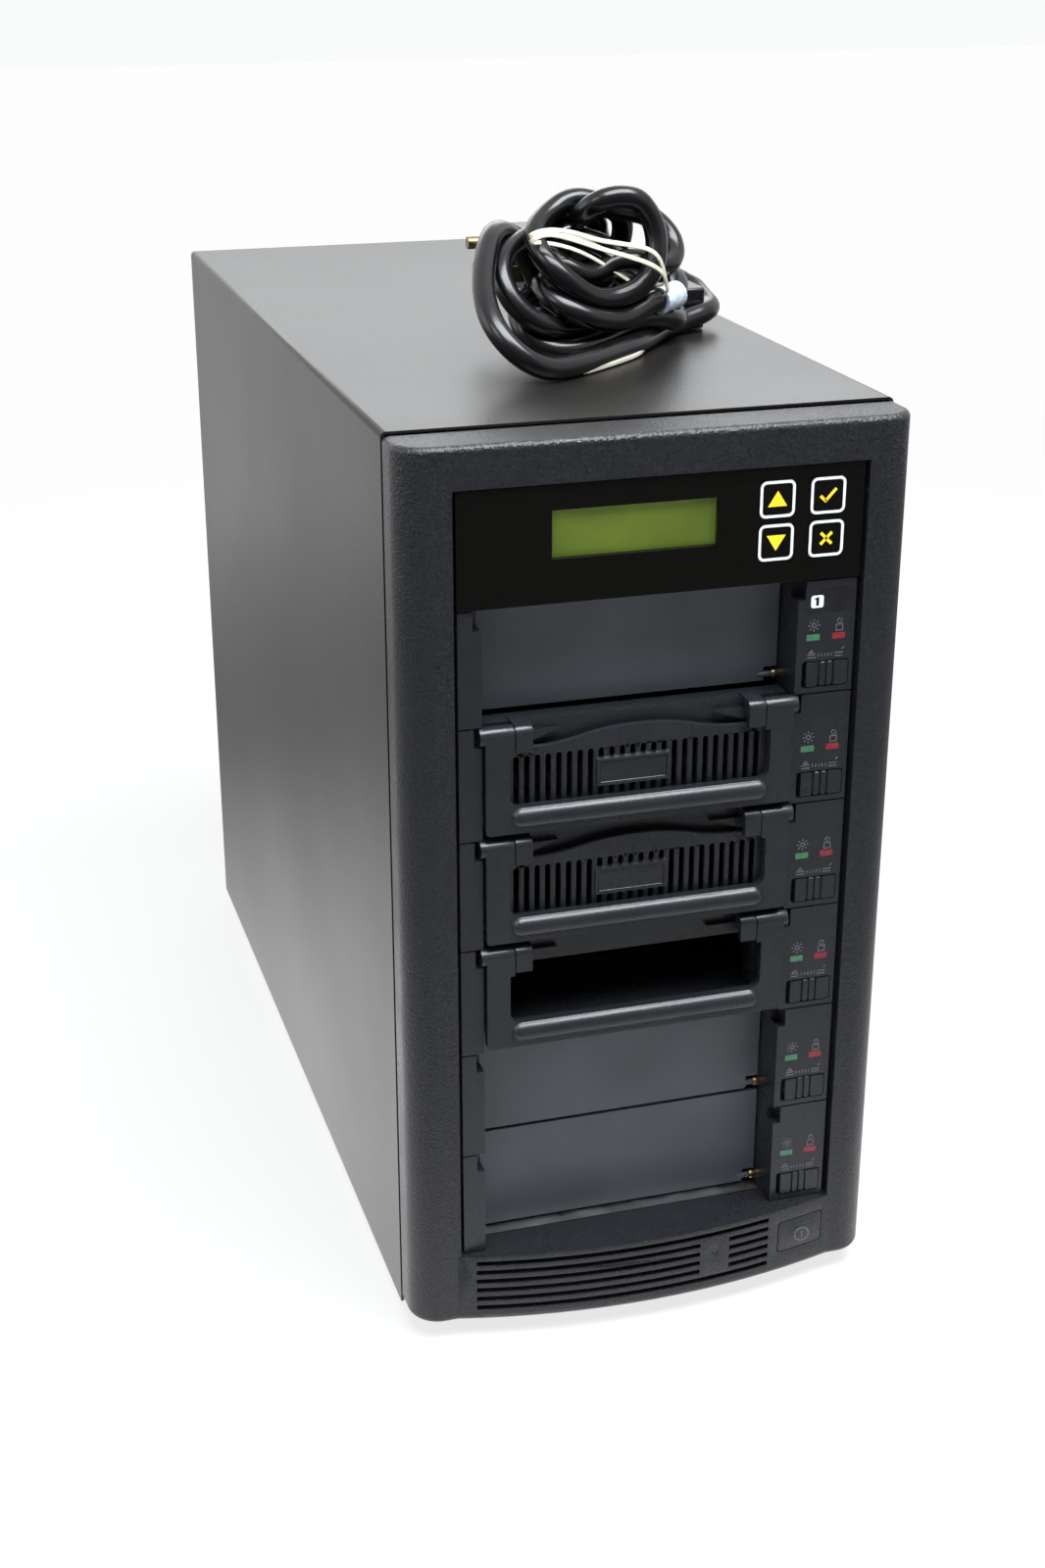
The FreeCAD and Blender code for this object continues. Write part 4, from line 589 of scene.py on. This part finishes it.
def rack_marks():
    """The moulded marks of each rack: a sun over the green lamp, a padlock over the red one."""
    sun_x, sun_z = SUN
    for rack in RACKS:
        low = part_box(rack)[0] / MM
        mark = Mark(0, low.y, low.z - RACK_FOOT, RELIEF)
        mark.add(*(disc_outline(sun_x, sun_z, radius, SUN_STEPS) for radius in SUN_RING))
        for ray in range(RAYS):
            turn = 2 * math.pi * ray / RAYS
            out_x, out_z = math.cos(turn), math.sin(turn)
            mark.add(stroke_outline(sun_x + out_x * RAY_FROM, sun_z + out_z * RAY_FROM,
                                    sun_x + out_x * RAY_TO, sun_z + out_z * RAY_TO, LINE))
        for rings in (PADLOCK_BODY, PADLOCK_BOW):
            mark.add(*(box_outline(*ring) for ring in rings))
        for x in LEDGER_LEFT:
            for z in LEDGER_UP:
                mark.add(stroke_outline(x, z, x + LEDGER_LENGTH, z, LINE))
        mark.add(*ARROW)
        mark.add(stroke_outline(*SLANT, LINE))
        for tick in range(TICKS):
            x = TICK_FIRST + tick * TICK_STEP
            mark.add(stroke_outline(x, TICK_SPAN[0], x, TICK_SPAN[1], LINE))
        # The marks take the lighter finish of the moulded marks, a painted highlight.
        mark.done(rack + "_marks", "relief_painted_highlight", "case")


FILM = (54.3, 73.1, 30.5, 39.6, 0.3)
FILM_SQUARE = (56.4, 61.2, 32.4, 37.0, 0.9)
FILM_NUMBER = [(58.3, 33.2), (59.4, 33.2), (59.4, 36.3), (58.6, 36.3),
               (57.7, 35.7), (57.7, 35.2), (58.3, 35.4)]


def source_label():
    """A glossy film at the top of the source rack's column, with a white square and a number."""
    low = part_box("rack_source")[0] / MM
    layers = (("source_label", "film_black", box_outline(*FILM)),
              ("source_square", "print_white", box_outline(*FILM_SQUARE)),
              ("source_number", "film_black", FILM_NUMBER))
    for layer, (name, finish, outline) in enumerate(layers):
        mark = Mark(0, low.y - PRINT * layer, low.z - RACK_FOOT, PRINT)
        mark.add(outline)
        mark.done(name, finish, "case")


# Stage

FLOOR_SIZE = 12
# How much of the floor's own glow the camera sees: near the object, and from where to where it
# grows to all of it.
FLOOR_GLOW = 0.78
SWEEP_START = 0.45
SWEEP_END = 1.6
GLOW = (0.985, 0.985, 0.985, 1)
# Painted reflection: what reflections show of the floor is a painted pool of light by its distance,
# bright near the object and dim further out, white where it lies behind.
PAINTED_POOL = ((0.12, 1.5), (0.45, 0.5), (0.95, 0.15))
BEHIND = ((0.5, 0.0), (1.0, 1.0))
FLOOR_BEHIND = (0.85, 0.85, 0.86, 1)
TINT = 1.02
# The backdrop in reflections: dim in front, white towards the bright side.
BRIGHT_SIDE = (-0.15, 0.85, 0.6)
DIM_UNTIL = -0.6
BRIGHT_FROM = 0.5
DIM = (0.20, 0.205, 0.22, 1)
BRIGHT = (0.95, 0.96, 0.965, 1)
AMBIENT = 0.25


def ramp(finish, source, *stops):
    """Greys between the stops, each a place and a level."""
    node = finish.node("ShaderNodeValToRGB")
    elements = node.color_ramp.elements
    while len(elements) < len(stops):
        elements.new(1.0)
    for element, (place, level) in zip(elements, stops):
        element.position = place
        element.color = (level, level, level * TINT, 1)
    finish.link(source, node.inputs["Fac"])
    return node.outputs["Color"]


def mix_shaders(finish, share, first, second):
    """The first shader, and as much of the second as the share says."""
    mix = finish.node("ShaderNodeMixShader")
    finish.link(share, mix.inputs["Fac"])
    finish.link(first.outputs[0], mix.inputs[1])
    finish.link(second.outputs[0], mix.inputs[2])
    return mix


def stage():
    """A pale floor that turns into the white backdrop, both dim in front in reflections, where the
    floor shows a painted pool of light.
    """
    bpy.ops.mesh.primitive_plane_add(size=FLOOR_SIZE, location=(0, 0, 0))
    floor = bpy.context.object
    floor.name = "floor"
    paper = Finish("paper", (0.93, 0.93, 0.935), 0.6).vary_colour(0.4, 0.01)
    floor.data.materials.append(paper.material)
    rays = paper.node("ShaderNodeLightPath")
    glow = paper.node("ShaderNodeEmission")
    glow.inputs["Color"].default_value = GLOW
    distance = paper.node("ShaderNodeVectorMath", operation="LENGTH")
    paper.link(paper.coordinates, distance.inputs[0])
    sweep = paper.node("ShaderNodeMapRange")
    sweep.inputs["From Min"].default_value = SWEEP_START
    sweep.inputs["From Max"].default_value = SWEEP_END
    sweep.inputs["To Min"].default_value = FLOOR_GLOW
    paper.link(distance.outputs["Value"], sweep.inputs["Value"])
    share = paper.node("ShaderNodeMath", operation="MULTIPLY")
    paper.link(rays.outputs["Is Camera Ray"], share.inputs[0])
    paper.link(sweep.outputs["Result"], share.inputs[1])
    seen = mix_shaders(paper, share.outputs[0], paper.shader, glow)
    # Painted pool of light and shade: the emission that reflections see on the floor, by distance
    # from the middle.
    pool = ramp(paper, distance.outputs["Value"], *PAINTED_POOL)
    place = paper.node("ShaderNodeSeparateXYZ")
    paper.link(paper.coordinates, place.inputs[0])
    behind = ramp(paper, place.outputs["Y"], *BEHIND)
    reflected = paper.node("ShaderNodeMix", data_type="RGBA")
    reflected.inputs["B"].default_value = FLOOR_BEHIND
    paper.link(behind, reflected.inputs["Factor"])
    paper.link(pool, reflected.inputs["A"])
    painted_reflection = paper.node("ShaderNodeEmission")
    paper.link(reflected.outputs["Result"], painted_reflection.inputs["Color"])
    floor_seen = mix_shaders(paper, rays.outputs["Is Glossy Ray"], seen, painted_reflection)
    paper.link(floor_seen.outputs[0], paper.tree.nodes["Material Output"].inputs["Surface"])
    world = bpy.data.worlds.new("studio")
    bpy.context.scene.world = world
    world.use_nodes = True
    tree = world.node_tree
    tree.nodes.clear()
    light, backdrop = (tree.nodes.new("ShaderNodeBackground") for _ in range(2))
    light.inputs["Strength"].default_value = AMBIENT
    tree.links.new(backdrop_colour(tree), backdrop.inputs["Color"])
    mix = tree.nodes.new("ShaderNodeMixShader")
    tree.links.new(seen_rays(tree), mix.inputs["Fac"])
    tree.links.new(light.outputs[0], mix.inputs[1])
    tree.links.new(backdrop.outputs[0], mix.inputs[2])
    output = tree.nodes.new("ShaderNodeOutputWorld")
    tree.links.new(mix.outputs[0], output.inputs["Surface"])


def seen_rays(tree):
    """1 for the rays that see the backdrop: the camera's, reflections and through glass."""
    path = tree.nodes.new("ShaderNodeLightPath")
    seen = path.outputs["Is Camera Ray"]
    for ray in ("Is Glossy Ray", "Is Transmission Ray"):
        either = tree.nodes.new("ShaderNodeMath")
        either.operation = "MAXIMUM"
        tree.links.new(seen, either.inputs[0])
        tree.links.new(path.outputs[ray], either.inputs[1])
        seen = either.outputs[0]
    return seen


def backdrop_colour(tree):
    """White to the camera. In reflections white behind and above, and dim in front."""
    direction = tree.nodes.new("ShaderNodeTexCoord").outputs["Generated"]
    facing = tree.nodes.new("ShaderNodeVectorMath")
    facing.operation = "DOT_PRODUCT"
    facing.inputs[1].default_value = BRIGHT_SIDE
    tree.links.new(direction, facing.inputs[0])
    ramp = tree.nodes.new("ShaderNodeMapRange")
    ramp.inputs["From Min"].default_value = DIM_UNTIL
    ramp.inputs["From Max"].default_value = BRIGHT_FROM
    tree.links.new(facing.outputs["Value"], ramp.inputs["Value"])
    colour = tree.nodes.new("ShaderNodeMix")
    colour.data_type = "RGBA"
    colour.inputs["A"].default_value = DIM
    colour.inputs["B"].default_value = BRIGHT
    lit = tree.nodes.new("ShaderNodeMath")
    lit.operation = "MAXIMUM"
    tree.links.new(ramp.outputs["Result"], lit.inputs[0])
    tree.links.new(tree.nodes.new("ShaderNodeLightPath").outputs["Is Camera Ray"], lit.inputs[1])
    tree.links.new(lit.outputs[0], colour.inputs["Factor"])
    return colour.outputs["Result"]


# Each softbox: where it stands, its width and height, and its power in watts.
SOFTBOXES = {
    "top": ((0.2, -0.62, 1.6), (1.5, 0.75), 52),
    "behind": ((0.3, 1.7, 1.15), (1.6, 0.7), 9),
    "key": ((-1.3, -0.7, 1.2), (0.6, 0.6), 4),
    "fill": ((1.4, -1.0, 0.9), (1.2, 1.2), 2),
    "side": ((-1.8, 0.5, 0.8), (1.0, 1.0), 4),
}
DAYLIGHT = (0.94, 0.975, 1.0)
AIM = (0, 0, 0.2)


def lights():
    """A broad softbox over the front, one behind that glances off the lid, and gentle fills."""
    for name, (place, size, power) in SOFTBOXES.items():
        data = bpy.data.lights.new(name, "AREA")
        data.shape = "RECTANGLE"
        data.size, data.size_y = size
        data.energy = power
        data.color = DAYLIGHT
        lamp = bpy.data.objects.new(name, data)
        lamp.location = place
        lamp.rotation_euler = (Vector(AIM) - Vector(place)).to_track_quat("-Z", "Y").to_euler()
        bpy.context.scene.collection.objects.link(lamp)


SENSOR_WIDTH = 36
LENS = 50.98
CAMERA_PLACE = (-0.2600, -0.8999, 0.5238)
CAMERA_DIP = 22.279
CAMERA_TURN = -16.836


def camera():
    """A 51 mm lens, a little above the lid and to the left of the bezel."""
    data = bpy.data.cameras.new("camera")
    data.sensor_width = SENSOR_WIDTH
    data.lens = LENS
    view = bpy.data.objects.new("camera", data)
    view.location = CAMERA_PLACE
    view.rotation_euler = (math.radians(90 - CAMERA_DIP), 0, math.radians(CAMERA_TURN))
    bpy.context.scene.collection.objects.link(view)
    bpy.context.scene.camera = view


camera()
mains_lead()
stage()
lights()
dress_nodes()
brass_pins()
key_prints()
power_symbol()
rack_marks()
source_label()

bpy.context.scene.view_settings.view_transform = "Standard"
